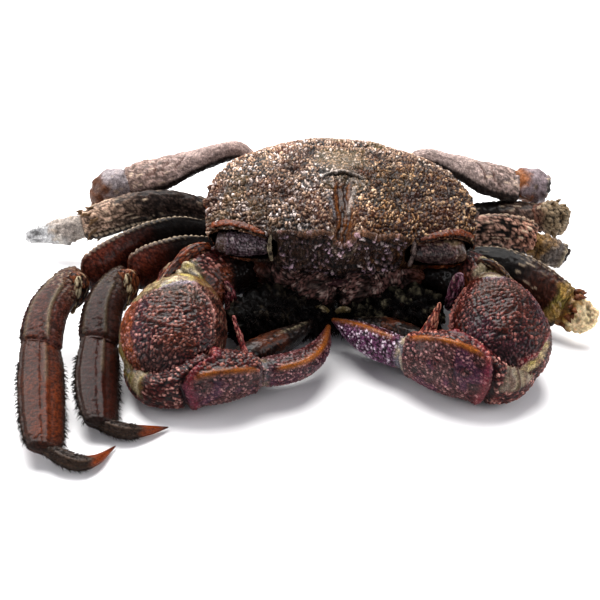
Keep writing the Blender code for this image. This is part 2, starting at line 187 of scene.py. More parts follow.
print("a drift runs from", drift(sample_line, 3.0).min(), "to", drift(sample_line, 3.0).max())

# %% [markdown]
# Colour names are the crab's own: pit for the dark groove between grains, pearl for a grain's top. Pit also
# stands for painted shade, in the grooves and wherever a part lies in shadow, and the grains' tops carry
# painted highlights. The colours are written as a picture editor shows them, from 0 to 255, and turned into
# the linear numbers that shaders work with. A pigment times more than 1 is brighter than an editor could
# show. The grains' tops need that, for their painted highlights, and because the brine darkens the whole crab
# afterwards.

# %% Pigments
BRINE = 0.48  # a shell wet with brine is that much darker than a dry one


def pigment(red, green, blue):
    """A colour as a picture editor shows it, in linear numbers."""
    shown = np.array([red, green, blue]) / 255
    return np.where(shown > 0.04045, ((shown + 0.055) / 1.055) ** 2.4, shown / 12.92)


def wash(under, over, share):
    """Paint laid over paint, covering it by that share at each point."""
    share = np.clip(np.asarray(share, float), 0, 1)[..., None]
    return under * (1 - share) + over * share


# PITCH is the darkest pigment, and also the painted shade in grooves, creases and shadowed parts.
PITCH = pigment(16, 10, 8)
SHELL_DEEP, SHELL_BROWN, SHELL_TAN = pigment(60, 32, 18), pigment(134, 92, 66), pigment(222, 188, 156)
# The silver colour is a painted highlight: the lamp's glint on grain tops, lips, crests, knobs and eyestalks.
SHELL_RUST, SHELL_OLIVE, SHELL_GLINT = pigment(140, 70, 36), pigment(118, 98, 54), pigment(246, 230, 218)
FURROW_OCHRE, RIM_ORANGE, RIM_DARK = pigment(200, 112, 30), pigment(186, 92, 40), pigment(92, 42, 26)
PLATE_DARK, PLATE_GREY = pigment(44, 33, 33), pigment(140, 118, 120)
EYE_GREY, EYE_VIOLET, EYE_HORN = pigment(206, 190, 202), pigment(122, 90, 104), pigment(124, 100, 66)
CLAW_PIT, CLAW_RED, CLAW_PEARL = pigment(24, 6, 7), pigment(104, 33, 31), pigment(232, 166, 152)
CLAW_VIOLET, CLAW_GREY, CLAW_PINK = pigment(112, 62, 98), pigment(120, 88, 88), pigment(236, 168, 156)
AMBER, AMBER_DARK = pigment(196, 110, 28), pigment(112, 54, 26)
SKIN_CREAM, SKIN_OLIVE, SKIN_BLUE = pigment(236, 216, 176), pigment(176, 160, 76), pigment(140, 142, 150)
# The legs' lilac is a painted glint on the tops of their scales.
LEG_BLACK, LEG_BROWN, LILAC_GLINT = pigment(24, 14, 11), pigment(110, 66, 46), pigment(168, 152, 154)
LEG_BEAD, FLESH_OCHRE, FLESH_PALE = pigment(226, 200, 170), pigment(240, 190, 100), pigment(255, 232, 184)
print("tan half covered by pitch:", wash(SHELL_TAN, PITCH, 0.5))

# %% [markdown]
# One recipe makes every finish. The painted colour is read from the mesh and broken up by hairline cracks
# and two noises, the polish is read the same way, and a fine bump stands for the pores that are too small
# to model. What differs from finish to finish is how fine the pores are, how deep, and how thick the wet
# film on top is. Image textures could do this too, but they would need unwrapping, and they blur close up.
# First come the nodes that the recipe is put together from.

# %% Noise, cracks, ranges and painted values
def textured(material, kind, size):
    """A texture node laid on the piece itself, with features about that many millimetres wide."""
    nodes = material.node_tree.nodes
    node = nodes.new(kind)
    node.inputs["Scale"].default_value = 1 / (size * MM)
    place = nodes.new("ShaderNodeTexCoord")
    material.node_tree.links.new(place.outputs["Object"], node.inputs["Vector"])
    return node


def noise(material, size, detail):
    """Soft patches from 0 to 1."""
    node = textured(material, "ShaderNodeTexNoise", size)
    node.inputs["Detail"].default_value = detail
    return node.outputs["Fac"]


def hairlines(material, size):
    """The distance from the nearest of many fine cracks."""
    node = textured(material, "ShaderNodeTexVoronoi", size)
    node.feature = "DISTANCE_TO_EDGE"
    return node.outputs["Distance"]


def spread(material, value, low, high, start=0.3, end=0.7):
    """A value that runs from start to end, stretched to run from low to high."""
    node = material.node_tree.nodes.new("ShaderNodeMapRange")
    node.inputs["From Min"].default_value = start
    node.inputs["From Max"].default_value = end
    node.inputs["To Min"].default_value = low
    node.inputs["To Max"].default_value = high
    material.node_tree.links.new(value, node.inputs["Value"])
    return node.outputs["Result"]


def painted(material, name):
    """What is stored under that name on the points of the mesh."""
    node = material.node_tree.nodes.new("ShaderNodeAttribute")
    node.attribute_name = name
    return node


# %% [markdown]
# In the recipe the colour is the painted tint, scaled three times: by the cracks, by a speckle and by a
# blotch. The same cracks and the finest noise also make the bump, so a pore is dark and deep at the same
# place. The wet film is the shader's coat, a clear layer over the shell.

# %% The finishes
def finish(name, pore, depth, film, film_rough, crackle, dark, mottle=0.35, scatter=0.0, mirror=0.12):
    """A wet shell finish. pore, depth and crackle are in millimetres, dark is how dark the cracks are."""
    material = bpy.data.materials.new(name)
    material.use_nodes = True
    nodes, links = material.node_tree.nodes, material.node_tree.links
    shader = nodes["Principled BSDF"]

    cracks = spread(material, hairlines(material, crackle), 1 - dark, 1.1, 0.0, 0.16)
    speckle = spread(material, noise(material, pore * 2.5, 3), 1 - mottle, 1 + mottle)
    blotch = spread(material, noise(material, pore * 14, 3), 1 - mottle * 0.6, 1 + mottle * 0.6)
    colour = painted(material, "tint").outputs["Color"]
    for amount in (cracks, speckle, blotch):
        shade = nodes.new("ShaderNodeVectorMath")
        shade.operation = "SCALE"
        links.new(colour, shade.inputs[0])
        links.new(amount, shade.inputs["Scale"])
        colour = shade.outputs["Vector"]
    links.new(colour, shader.inputs["Base Color"])

    rough = nodes.new("ShaderNodeMath")
    links.new(painted(material, "polish").outputs["Fac"], rough.inputs[0])
    links.new(spread(material, noise(material, pore * 4, 2), -0.08, 0.08), rough.inputs[1])
    links.new(rough.outputs["Value"], shader.inputs["Roughness"])

    pores = nodes.new("ShaderNodeMath")
    links.new(noise(material, pore, 2), pores.inputs[0])
    links.new(cracks, pores.inputs[1])
    relief = nodes.new("ShaderNodeBump")
    relief.inputs["Distance"].default_value = depth * MM
    relief.inputs["Strength"].default_value = 0.9
    links.new(pores.outputs["Value"], relief.inputs["Height"])
    links.new(relief.outputs["Normal"], shader.inputs["Normal"])

    shader.inputs["Specular IOR Level"].default_value = mirror
    shader.inputs["Coat Weight"].default_value = film
    shader.inputs["Coat Roughness"].default_value = film_rough
    if scatter:
        shader.inputs["Subsurface Weight"].default_value = scatter
        shader.inputs["Subsurface Scale"].default_value = 1.5 * MM
    return material


FINISHES = {
    "shell": finish("wet_brown_shell", 0.16, 0.05, 0.16, 0.09, crackle=0.36, dark=0.75, mirror=0.05),
    "underside": finish("pale_underside", 0.16, 0.05, 0.04, 0.25, crackle=0.60, dark=0.3, mirror=0.05),
    "claw": finish("wet_claw_shell", 0.15, 0.04, 0.17, 0.12, crackle=0.34, dark=0.6, mirror=0.06),
    "leg": finish("wet_leg_shell", 0.15, 0.05, 0.08, 0.12, crackle=0.34, dark=0.4, mirror=0.04),
    "eye": finish("eye_horn", 0.12, 0.04, 0.35, 0.10, crackle=0.26, dark=0.4, mottle=0.2),
    "flesh": finish("soft_flesh", 0.20, 0.08, 0.14, 0.20, crackle=0.80, dark=0.15, scatter=0.15),
}
print("finishes:", ", ".join(FINISHES))


# %% [markdown]
# A piece is made in three moves: a smooth skin, the direction that looks out of it at each point, and the
# relief that pushes the point out or in along that direction. The colour and the polish are stored on the
# points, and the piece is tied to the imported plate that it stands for.

# %% From a skin to a finished piece
piece_sizes = {}


def outward_of(points, faces):
    """The direction out of the skin at each point. faces is a list of arrays of quads or triangles."""
    total = np.zeros_like(points)
    for group in faces:
        corners = points[group]
        last = corners[:, 3] if group.shape[1] == 4 else corners[:, 0]
        normal = np.cross(corners[:, 2] - corners[:, 0], last - corners[:, 1])
        for k in range(group.shape[1]):
            np.add.at(total, group[:, k], normal)
    return total / np.maximum(np.linalg.norm(total, axis=1), 1e-12)[:, None]


def mesh_of(name, points, faces, tint, polish):
    """A mesh of those points with the paint stored on them."""
    mesh = bpy.data.meshes.new(name)
    corners = [tuple(face) for group in faces for face in group.tolist()]
    mesh.from_pydata(to_model(points).tolist(), [], corners)
    paint = np.column_stack([np.broadcast_to(tint, (len(points), 3)) * BRINE, np.ones(len(points))])
    store = mesh.attributes.new("tint", "FLOAT_COLOR", "POINT")
    store.data.foreach_set("color", paint.astype(np.float32).ravel())
    store = mesh.attributes.new("polish", "FLOAT", "POINT")
    store.data.foreach_set("value", np.broadcast_to(polish, len(points)).astype(np.float32).copy())
    mesh.shade_smooth()
    return mesh


def place(name, mesh, slot, replaces=()):
    """Puts a mesh in the scene as a piece of the crab."""
    piece = bpy.data.objects.new(name, mesh)
    bpy.context.scene.collection.objects.link(piece)
    mesh.materials.clear()
    mesh.materials.append(FINISHES[slot])
    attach(piece, "root")
    for node in replaces:
        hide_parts(node)
    piece_sizes[name] = sum(len(face.vertices) - 2 for face in mesh.polygons)
    return piece


# %% [markdown]
# Most of a crab is blunt-ended tubes with an oval section: arms, fingers, every plate of every leg, the
# eyestalks. A cylinder could be bent into shape for each, but a skin that follows a middle line gives every
# point two useful addresses: how far along the limb it is, and at what angle round it. Evenly spaced rings
# make the grains equally sharp everywhere.

# %% Rings along a limb, and its outline across
def taper(t, blunt):
    """The share of its thickness that a limb has at t. A higher number in blunt makes a blunter end."""
    power = np.where(t < 0.5, blunt[0], blunt[1])
    return (1 - np.abs(2 * t - 1) ** power) ** (1 / power)


def rings_along(path, height, depth, blunt, fine):
    """Evenly spaced places along the skin: t, millimetres travelled, half the thickness and its widest."""
    dense = 0.5 * (1 - np.cos(math.pi * np.arange(1, 2000) / 2000))
    middle = through(path, dense)
    half = (through(height, dense) + through(depth, dense)) / 4 * taper(dense, blunt)
    steps = np.hypot(np.linalg.norm(np.diff(middle, axis=0), axis=1), np.diff(half))
    travel = np.concatenate([[0], np.cumsum(steps)])
    count = max(8, int(travel[-1] / fine))
    t = np.interp(np.linspace(0, travel[-1], count), travel, dense)
    return t, np.interp(t, dense, travel), np.interp(t, dense, half), half.max()


def ways_along(path, crest, t):
    """At each place the way the limb runs, the way up to its crest and the way sideways."""
    run = through(path, t + 0.01) - through(path, t - 0.01)
    run /= np.linalg.norm(run, axis=1)[:, None]
    up = np.asarray(crest, float)
    if up.ndim > 1:
        up = through(up, t)
    up = up - (up * run).sum(1)[:, None] * run
    up /= np.linalg.norm(up, axis=1)[:, None]
    return run, up, np.cross(run, up)


def outline_across(angle, corner, ridges):
    """How far the outline reaches up and sideways at each angle: an oval, boxier with a higher corner."""
    swell = np.ones(len(angle))
    for where, share, width in ridges:
        away = (np.degrees(angle) - where + 180) % 360 - 180
        swell += share * np.exp(-((away / width) ** 2))
    return [np.sign(wave) * np.abs(wave) ** (2 / corner) * swell for wave in (np.cos(angle), np.sin(angle))]


# %% [markdown]
# The tube is the outline carried along the rings. Besides its points and faces it hands back the addresses:
# t from 0 to 1 along it, the same in millimetres, the angle in degrees from the crest, and the half
# thickness, which turns an angle into millimetres.

# %% The tube that limbs are made from
def tube(path, height, depth, crest, corner=2.0, blunt=(3.5, 3.5), ridges=(), fine=0.2):
    """A fine limb plate: its points and faces, and each point's place along and round the limb."""
    path = np.asarray(path, float)
    t, travel, half, widest = rings_along(path, height, depth, blunt, fine)
    run, up, sideways = ways_along(path, crest, t)
    rings, sides = len(t), max(10, int(math.pi * 2 * widest / fine))
    angle = 2 * math.pi * np.arange(sides) / sides
    round_up, round_side = outline_across(angle, corner, ridges)
    tall = (through(height, t) / 2 * taper(t, blunt))[:, None, None]
    deep = (through(depth, t) / 2 * taper(t, blunt))[:, None, None]
    rows = (through(path, t)[:, None, :] + tall * round_up[:, None] * up[:, None, :]
            + deep * round_side[:, None] * sideways[:, None, :])
    points = np.vstack([path[0], rows.reshape(-1, 3), path[-1]])

    j = np.arange(sides)
    k = (j + 1) % sides
    start, end = 1 + sides * np.arange(rings - 1)[:, None], 1 + (rings - 1) * sides
    quads = np.stack([start + j, start + k, start + sides + k, start + sides + j], -1).reshape(-1, 4)
    caps = np.vstack([np.column_stack([0 * j, 1 + k, 1 + j]),
                      np.column_stack([0 * j + len(points) - 1, end + j, end + k])])
    return SimpleNamespace(
        p=points, faces=[quads, caps], length=travel[-1],
        t=np.concatenate([[0], np.repeat(t, sides), [1]]),
        mm=np.concatenate([[0], np.repeat(travel, sides), travel[-1:]]),
        angle=np.concatenate([[0], np.tile((np.degrees(angle) + 180) % 360 - 180, rings), [0]]),
        half=np.concatenate([[0.1], np.repeat(half, sides), [0.1]]),
        run=np.vstack([run[:1], np.repeat(run, sides, axis=0), run[-1:]]))


trial = tube(path=[(0, 0, 0), (5, 0, 1), (10, 0, 0)], height=[2, 3, 2], depth=[2, 2, 2], crest=(0, 0, 1))
print("a trial limb:", len(trial.p), "points,", trial.length, "mm over its skin")

# %% [markdown]
# The addresses make detail easy to place. A keel is a line at one angle, a row of beads is a keel that
# swells and shrinks as it goes, and a rim is a ring at one distance. Widths are in millimetres, so a detail
# has the same size on every limb.

# %% Lines, beads and rings on a limb
def line(f, where, width):
    """How near each point is to a line along the limb at that angle, which may change along the way."""
    away = (f.angle - where + 180) % 360 - 180
    return np.exp(-((np.radians(away) * f.half / width) ** 2))


def beads(f, where, width, spacing):
    """A row of beads along the limb at that angle."""
    return line(f, where, width) * (0.25 + 0.75 * np.abs(np.cos(math.pi * f.mm / spacing)) ** 0.7)


def ring(f, t, width):
    """A rim round the limb, t of the way along it."""
    return bump((f.t - t) * f.length, 0, width)


def along_grains(f, long, wide, salt):
    """Grains laid out in the limb's own directions, so that they can be longer along it or across it."""
    winding = 0.3 * drift(f.p, 2.5, salt)
    along, across = f.mm / long, np.radians(f.angle) * f.half / wide
    return grains(np.column_stack([along + winding, across + winding, 0 * f.mm]), 1.0, salt + 1)


skins = {}


def limb(name, spec, dress, slot, replaces=(), fine=0.2, **marks):
    """Makes one plate of a limb. dress works out (relief in millimetres, colour, roughness)."""
    f = tube(**spec, fine=fine)
    f.out = outward_of(f.p, f.faces)
    relief, tint, polish = dress(f, **marks)
    f.p = f.p + relief[:, None] * f.out
    skins[name] = f
    return place(name, mesh_of(name, f.p, f.faces, tint, polish), slot, replaces)


print("share of the trial limb's skin within 0.3 mm of its crest:", line(trial, 0, 0.3).mean())

# %% [markdown]
# ## The upper shell
# The carapace is a low dome, nearly square from above, that bends down in front as a plate between the
# eyes. A scan would hold every grain, but it can't be changed. So the dome is a formula, as in the packed
# model: a height over each point of its outline, and walls that tuck in as they go down.

# %% The dome's formula
SHELL_WIDTH = 42.0
FRONT_Y, REAR_Y = -18.3, 17.6
CROWN_Z, BROW_Z, SEAM_Z = 22.0, 18.4, 8.4
PLATE_HALF = 10.0
SHELL_PLAN = (0.985, 1.0, 0.985, 0.93, 0.84, 0.71, 0.56, 0.40)


def shell_top(x, y, a, b):
    """Height of the upper shell: a low dome that falls to the rear, furrowed behind the brow."""
    front = np.clip(-b, 0, 1)
    z = CROWN_Z - (3.3 - 1.6 * front) * np.abs(a) ** 3
    z = z - (CROWN_Z - BROW_Z) * front ** 3 - 9.4 * np.clip(b, 0, 1) ** 2.1
    z = z - 1.5 * rise(-y, 3.5, 9.0) * np.exp(-(np.abs(x - 0.15) / 1.75) ** 3.4)
    lobes = bump(np.abs(x), 3.2, 1.7) + 0.8 * bump(np.abs(x), 8, 1.8)
    z = z + 0.9 * lobes * rise(-y, 11, 16.5)
    saddle = bump(np.abs(x), 8.5, 2.2) * bump(y, 1.5, 5.0) + bump(y, 4.5, 1.6) * bump(x, 0, 6.0)
    return z - 0.7 * saddle


def shell_point(a, b, c):
    """The upper shell, from its crown down to the seam."""
    share = (c + 1) / 2
    brow_y = FRONT_Y + 2.0 * np.abs(a) ** 2.2
    rear_y = REAR_Y - 2.4 * np.abs(a) ** 2
    y = brow_y + (rear_y - brow_y) * (b + 1) / 2
    x = a * SHELL_WIDTH / 2 * through(SHELL_PLAN, (b + 1) / 2)
    rim_z = shell_top(x, y, a, b)
    low = 1 - share
    facing = np.clip(-b, 0, 1) ** 8
    beside_plate = rise(np.abs(x), PLATE_HALF - 1, PLATE_HALF + 3)
    tuck = facing * (1.0 * low + rise(low, 0.62, 0.80) * 1.3 + 1.6 * beside_plate * rise(low, 0.5, 1.0))
    x = x * (1 - 0.19 * low ** 1.4)
    y = y * np.where(b > 0, 1 - 0.17 * low ** 1.5, 1 - 0.02 * low) + tuck
    return np.column_stack([x, y, SEAM_Z + (rim_z - SEAM_Z) * share])


print("crown of the shell, mm:", shell_point(np.zeros(1), np.zeros(1), np.ones(1))[0])

# %% [markdown]
# The formula takes three addresses: a across the shell, b along it and c down its walls, each from -1 to 1.
# A fine grid of them gives a closed skin with three parts: a top face, walls that hang from its edge, and a
# fan that closes the hidden bottom. The breastplate and the plate between the eyes are made in the same
# way.

# %% A fine skin with a face, walls and a closed back
def draped(place_point, across, along, down):
    """A closed skin over a box: a fine face at c = 1, walls to c = -1 and a fan across the back."""
    u, v = np.meshgrid(np.arange(across + 1), np.arange(along + 1), indexing="ij")
    a, b = 2 * u.ravel() / across - 1, 2 * v.ravel() / along - 1
    number = u * (along + 1) + v
    corners = [number[:-1, :-1], number[1:, :-1], number[1:, 1:], number[:-1, 1:]]
    quads = [np.stack(corners, -1).reshape(-1, 4)]
    loop = np.concatenate([number[:-1, 0], number[-1, :-1], number[:0:-1, -1], number[0, :0:-1]])
    size, count = len(loop), len(a)
    k = np.arange(1, down + 1)
    a = np.concatenate([a, np.tile(a[loop], down), [0]])
    b = np.concatenate([b, np.tile(b[loop], down), [0]])
    c = np.concatenate([np.ones(count), np.repeat(1 - 2 * k / down, size), [-1]])
    upper = loop
    for row in range(down):
        lower = count + row * size + np.arange(size)
        quads.append(np.stack([lower, np.roll(lower, -1), np.roll(upper, -1), upper], -1))
        upper = lower
    back = np.stack([np.roll(upper, -1), upper, np.full(size, len(a) - 1)], -1)
    return place_point(a, b, c), [np.vstack(quads), back], a, b, c


def sheet(name, place_point, grid, dress, slot, replaces=()):
    """Makes a draped plate. dress works out (relief in millimetres, colour, roughness)."""
    points, faces, a, b, c = draped(place_point, *grid)
    relief, tint, polish = dress(points, a, b, c)
    points = points + relief[:, None] * outward_of(points, faces)
    piece = place(name, mesh_of(name, points, faces, tint, polish), slot, replaces)
    print(name, "has", piece_sizes[name], "triangles")
    return piece


# %% [markdown]
# The dome's skin is made in layers, and each layer is a short function. The first lays the grains: longer
# than wide on the back, winding and knobbly in front. Their colour follows their height: pitch in the
# grooves, partly painted shade, and tan on the tops, lifted by a painted highlight that turns to silver
# glints on some. Slow drifts turn it towards rust or olive.

# %% Grains of the back
def scales_on(p, forward):
    """Scales of the back: narrow and long behind, winding and knobbly in front."""
    fanned = p + np.column_stack([-0.014 * p[:, 0] * (p[:, 1] - 6), 0 * p[:, 0], 0 * p[:, 0]])
    long, long_own = grains(stirred(fanned, 1.9, 0.40, 31), np.array([0.44, 1.15, 0.8]), 41)
    knob, knob_own = grains(stirred(p, 1.3, 0.55, 51), np.array([0.46, 0.86, 0.62]), 61)
    return long + (knob - long) * forward, np.where(forward > 0.5, knob_own, long_own)


def shell_places(p, b, c):
    """What every layer of the shell's skin needs to know about each point."""
    x, y, z = p.T
    s = SimpleNamespace(x=x, y=y, z=z, wide=np.abs(x), c=c, top=rise(c, 0.93, 0.99))
    s.front = (1 - s.top) * rise(-b, 0.985, 0.999)
    s.slow, s.slower, s.quick = drift(p, 3.0, 11), drift(p, 8.0, 23), drift(p, 1.1, 27)
    s.pillow, s.own = scales_on(p, rise(-y + 2.5 * s.slow, 0.2, 1.6))
    s.lump, _ = grains(stirred(p, 2.5, 0.5, 71), 1.9, 73)
    s.forward, s.back = rise(-y, -1.0, 6.0), rise(y, 0, 8)
    return s


def lay_grains(s):
    """The grains' relief, and their colour from groove to top."""
    s.relief = s.top * (0.42 - 0.10 * s.back + 0.10 * s.quick) * (s.pillow - 0.45) + 0.10 * s.top * s.slow
    s.relief += s.top * 0.16 * s.forward * (s.lump - 0.5) + (1 - s.top) * 0.18 * (s.pillow - 0.4)
    flank = SHELL_BROWN * (1 + 0.4 * s.back[:, None])
    # Painted highlight: the tops are lifted well past their own tan, and some turn to glints.
    tan = wash(SHELL_TAN, SHELL_GLINT, rise(s.own, 0.65, 0.9)) * (1.78 - 0.42 * s.back[:, None])
    # Pitch in the grooves is partly painted shade.
    s.tint = wash(PITCH * 0.6, flank, rise(s.pillow + 0.12 * s.back, 0.54, 0.78))
    s.tint = wash(s.tint, tan, rise(s.pillow, 0.62, 0.86) * (0.3 + 0.7 * rise(s.own, 0.35, 0.65)))
    rusty = 0.36 * rise(s.slower + 0.5 * s.slow, 0.0, 0.5) * (1 - 0.4 * s.pillow)
    s.tint = wash(s.tint, SHELL_RUST, rusty)
    s.tint = wash(s.tint, SHELL_OLIVE, 0.50 * rise(-s.slower + 0.4 * s.slow, 0.1, 0.5))


# %% [markdown]
# A shell isn't one brown. It has dark stains in random patches, and painted shade darkens it towards the
# front and its right side, the parts the window behind lights least, and in the hollows between the front
# lumps. Its walls are painted dark as shade, with an orange corner under each eye, and its rear is painted
# paler, as lit. Where the wet back mirrors the window it is golden on one side and silver on the other. Those
# sheens are painted, since the highlight of so small a grain would be lost in the render.

# %% Stains, painted shade and sheen of the back
SHEEN_PLAIN, SHEEN_GOLDEN = np.array([1.12, 1.08, 1.08]), np.array([1.0, 0.76, 0.48])
SHEEN_SILVER, SHEEN_PALE = np.array([1.26, 1.24, 1.30]), np.array([1.1, 1.18, 1.38])


def stain_and_shade(s):
    """Stains, painted shade towards the front, the right and in the hollows, walls painted dark as shade, and
    a rear painted pale as lit.
    """
    # Painted shade towards the front and the right, with stains in random patches.
    shade_and_stains = rise(-s.y + 3 * s.slower + 0.25 * s.x, -2, 6) * (0.35 + 0.35 * rise(s.x, 2, 9))
    shade_and_stains = shade_and_stains + 0.30 * rise(-s.slow - 0.3 * s.quick, 0.1, 0.6)
    spared = 0.65 * rise(s.own, 0.55, 0.75) * s.pillow
    s.tint = wash(s.tint, wash(PITCH, SHELL_DEEP, s.pillow), shade_and_stains * (1 - spared) * s.top)
    # Painted shade in the hollows between the front lumps.
    s.tint = wash(s.tint, PITCH, 0.60 * rise(0.30 - s.lump, 0, 0.2) * s.forward * s.top)
    # Painted light: the rear is paler, as lit.
    s.tint = wash(s.tint, SHELL_TAN, 0.45 * rise(s.y - 0.2 * s.x, 2, 12) * s.top * rise(s.pillow, 0.4, 0.8))
    corner = rise(-s.y, 3, 10) * rise(s.wide, 12, 16)
    # Painted shade on the walls, with an orange corner under each eye.
    wall = wash(PLATE_DARK, wash(PITCH, RIM_ORANGE, s.pillow), corner)
    s.tint = wash(s.tint, wall, 0.80 * (1 - s.top))


def shed_light(s):
    """Golden on the right, silver on the left and pale behind."""
    sheen = wash(SHEEN_PLAIN, SHEEN_GOLDEN, rise(s.x + 2 * s.slower, -1, 7) * rise(-s.y, -4, 4))
    sheen = wash(sheen, SHEEN_SILVER, (1 - rise(s.x + 2 * s.slower, -8, 1)) * rise(-s.y, -2, 5))
    sheen = wash(sheen, SHEEN_PALE, rise(s.y, 3, 9) * (1 - rise(s.wide, 7, 12)))
    s.tint = s.tint * sheen * (1.1 + 0.35 * rise(s.y - 0.2 * s.x, 0, 8)[:, None])


# %% [markdown]
# Every such crab has an arched crease behind its forehead, with a smooth, streaked field behind it. A few
# shallow dips round it are painted dark, partly rust and partly painted shade, and a few spots are painted
# lighter, as the light would catch low swells. The crease is painted dark as the shade in it, and its lips
# carry painted glints. They give the back its face, so each is placed as it lies in the photo.

# %% The forehead: arch, dips and painted light spots
DIPS = ((-7.6, -3.8), (-5.4, 1.2), (3.4, -4.6), (5.6, 0.8), (-8.6, -10.8), (10.0, -10.4))
LIT_SPOTS = ((-15.9, -11.4), (7.6, -2.4), (3.9, -12.2), (11.0, -15.2))


def mark_forehead(s):
    field = between(s.y, -4.5, 0.8, 0.8) * (1 - rise(s.wide + 1.2 * s.slow, 1.8, 4.0)) * s.top
    s.relief = s.relief * (1 - 0.35 * field)
    s.tint = wash(s.tint, SHELL_TAN, 0.30 * field * s.pillow)
    for x, y in DIPS:
        dip = np.exp(-((s.x - x + s.slow) / 2.1) ** 2 - ((s.y - y) / 1.5) ** 2) * s.top
        s.relief -= 0.35 * dip
        # Painted shade in each dip, with rust on some grains.
        s.tint = wash(s.tint, wash(PITCH, SHELL_RUST, 0.6 * s.pillow * s.own), 0.95 * dip)
    # Painted light on a few spots, where low swells would catch it.
    for x, y in LIT_SPOTS:
        lit = np.exp(-((s.x - x + s.slow) ** 2 + (s.y - y) ** 2) / 4.5) * s.top * s.pillow
        s.tint = s.tint * (1 + 0.6 * lit[:, None])
    arch = -4.9 - 0.17 * s.x ** 2 + 0.3 * s.slow
    near = (1 - rise(s.wide, 2.8, 3.9)) * s.top
    s.relief += near * (0.26 * bump(s.y, arch + 0.25, 0.25) - 0.50 * bump(s.y, arch - 0.25, 0.25))
    # Painted shade in the crease.
    s.tint = wash(s.tint, PITCH, 0.95 * near * bump(s.y, arch - 0.3, 0.30))
    # Painted glints on the crease's lips.
    lips = bump(s.y, arch + 0.3, 0.2) + bump(s.y, arch - 1.5, 0.5) * rise(s.quick, -0.4, 0.2)
    s.tint = wash(s.tint, SHELL_GLINT, 0.7 * near * lips)
    brow = rise(-s.y, 16.2, 17.6) * rise(-s.x, -1, 3) * s.top
    s.tint = s.tint * (1 - 0.5 * brow[:, None])


# %% [markdown]
# Down the middle of the face runs a channel, fluted and ochre, between two bare crests. The imported dome has
# the furrow itself already. Here it gets its flutes, and each crest is a ridge that leans a little, with a
# painted highlight along it, silver on the right and bluish grey on the left.

# %% The ochre channel between two crests
# The colour of each crest is a painted highlight.
CRESTS = (  # x where it starts, lean, y from and to, height, colour
    (2.05, -0.24, -8.4, -13.4, 0.42, SHELL_GLINT),
    (-2.5, 0.22, -10.0, -15.2, 0.30, SKIN_BLUE),
)


def open_channel(s):
    off = s.x - 0.15 + 0.12 * s.slow
    channel = rise(-s.y, 6.0, 7.6) * (1 - rise(np.abs(off), 1.15, 1.65))
    channel = channel * np.maximum(s.top, s.front * rise(s.z, 14.6, 15.6))
    flutes = np.cos(off * 6.0 + 2.6 * s.slow + 1.2 * s.quick)
    s.relief = s.relief * (1 - 0.7 * channel) + 0.12 * channel * flutes
    ochre = wash(RIM_DARK, FURROW_OCHRE, rise(flutes + 0.6 * s.quick, -0.5, 0.7))
    s.tint = wash(s.tint, ochre * (0.42 - 0.2 * rise(-s.y, 14.5, 16.5)[:, None]), 0.92 * channel)
    s.tint = wash(s.tint, PITCH, 0.85 * channel * bump(off, 0, 0.30) * between(s.y, -14.0, -7.2, 0.8))
    shine = s.pillow * s.top
    for start_x, lean, start_y, end_y, high, colour in CRESTS:
        crest = bump(s.x, start_x + lean * (start_y - s.y), 0.26) * between(s.y, end_y, start_y, 0.4) * s.top
        s.relief += high * crest
        # Painted highlight along the crest.
        s.tint = wash(s.tint, colour, 0.7 * crest)
        shine = np.maximum(shine, crest)
    s.shine = shine * (1 - channel)


# %% [markdown]
# Last come the creases that run in from the sides, the grooves round the cheeks and two notches in the side
# edge. The creases and grooves are painted dark as the shade in them, and the walls are painted darker
# towards the seam, as shade under the overhang. Dressing the shell is calling all the layers in order.

# %% Creases, cheeks and the side edge
CREASE_STARTS = (-9.5, -6.4, -3.0, 0.8, 4.6)


def crease_sides(s):
    creases = sum(bump(s.y, y + 0.32 * (s.wide - 12) + 0.6 * s.slow, 0.26) for y in CREASE_STARTS)
    creases = np.clip(creases, 0, 1) * rise(s.wide, 11.0, 14.0) * s.top
    cheek = bump(s.wide - 0.12 * s.y, 8.4 + 0.8 * s.slow, 0.45) * between(s.y, -6.5, 0.5, 1.0)
    cheek += bump(s.y, 4.4 + 0.04 * s.x ** 2 + 0.8 * s.slow, 0.45) * (1 - rise(s.wide, 5, 7))
    s.relief -= 0.30 * creases + 0.34 * np.clip(cheek, 0, 1) * s.top
    # Painted shade in the creases and the grooves round the cheeks.
    s.tint = wash(s.tint, PITCH, 0.75 * np.clip(creases + cheek * s.top, 0, 1))
    teeth = bump(s.y, -10.6, 0.55) - 0.9 * bump(s.y, -11.7, 0.35)
    teeth = teeth + 0.5 * bump(s.y, -6.9, 0.5) - 0.6 * bump(s.y, -7.8, 0.3)
    s.relief += 0.5 * teeth * bump(s.c, 1.0, 0.25) * rise(s.wide, 18.5, 19.8)
    s.relief += 0.16 * (1 - s.top) * bump(s.c, 0.94, 0.05) * (0.4 + 0.6 * s.pillow)
    s.tint = wash(s.tint, RIM_DARK, 0.5 * bump(s.c, 0.95, 0.05) * rise(s.wide, 9, 12) * rise(-s.y, 5, 12))
    # Painted shade: the walls darken towards the seam.
    s.tint = wash(s.tint, PITCH, 0.75 * (1 - rise(s.z, 9.5, 12.2)) * (1 - s.top))


def dress_shell(p, a, b, c):
    s = shell_places(p, b, c)
    for layer in (lay_grains, stain_and_shade, shed_light, mark_forehead, open_channel, crease_sides):
        layer(s)
    return s.relief, s.tint, 0.54 - 0.30 * s.shine + 0.04 * s.slow


# %% [markdown]
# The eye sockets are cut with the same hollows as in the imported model. A Boolean keeps the paint that is
# stored on both meshes, so the hollow brings its own dark colour with it. Only the new points along the cut
# have none, and would show as a white outline.

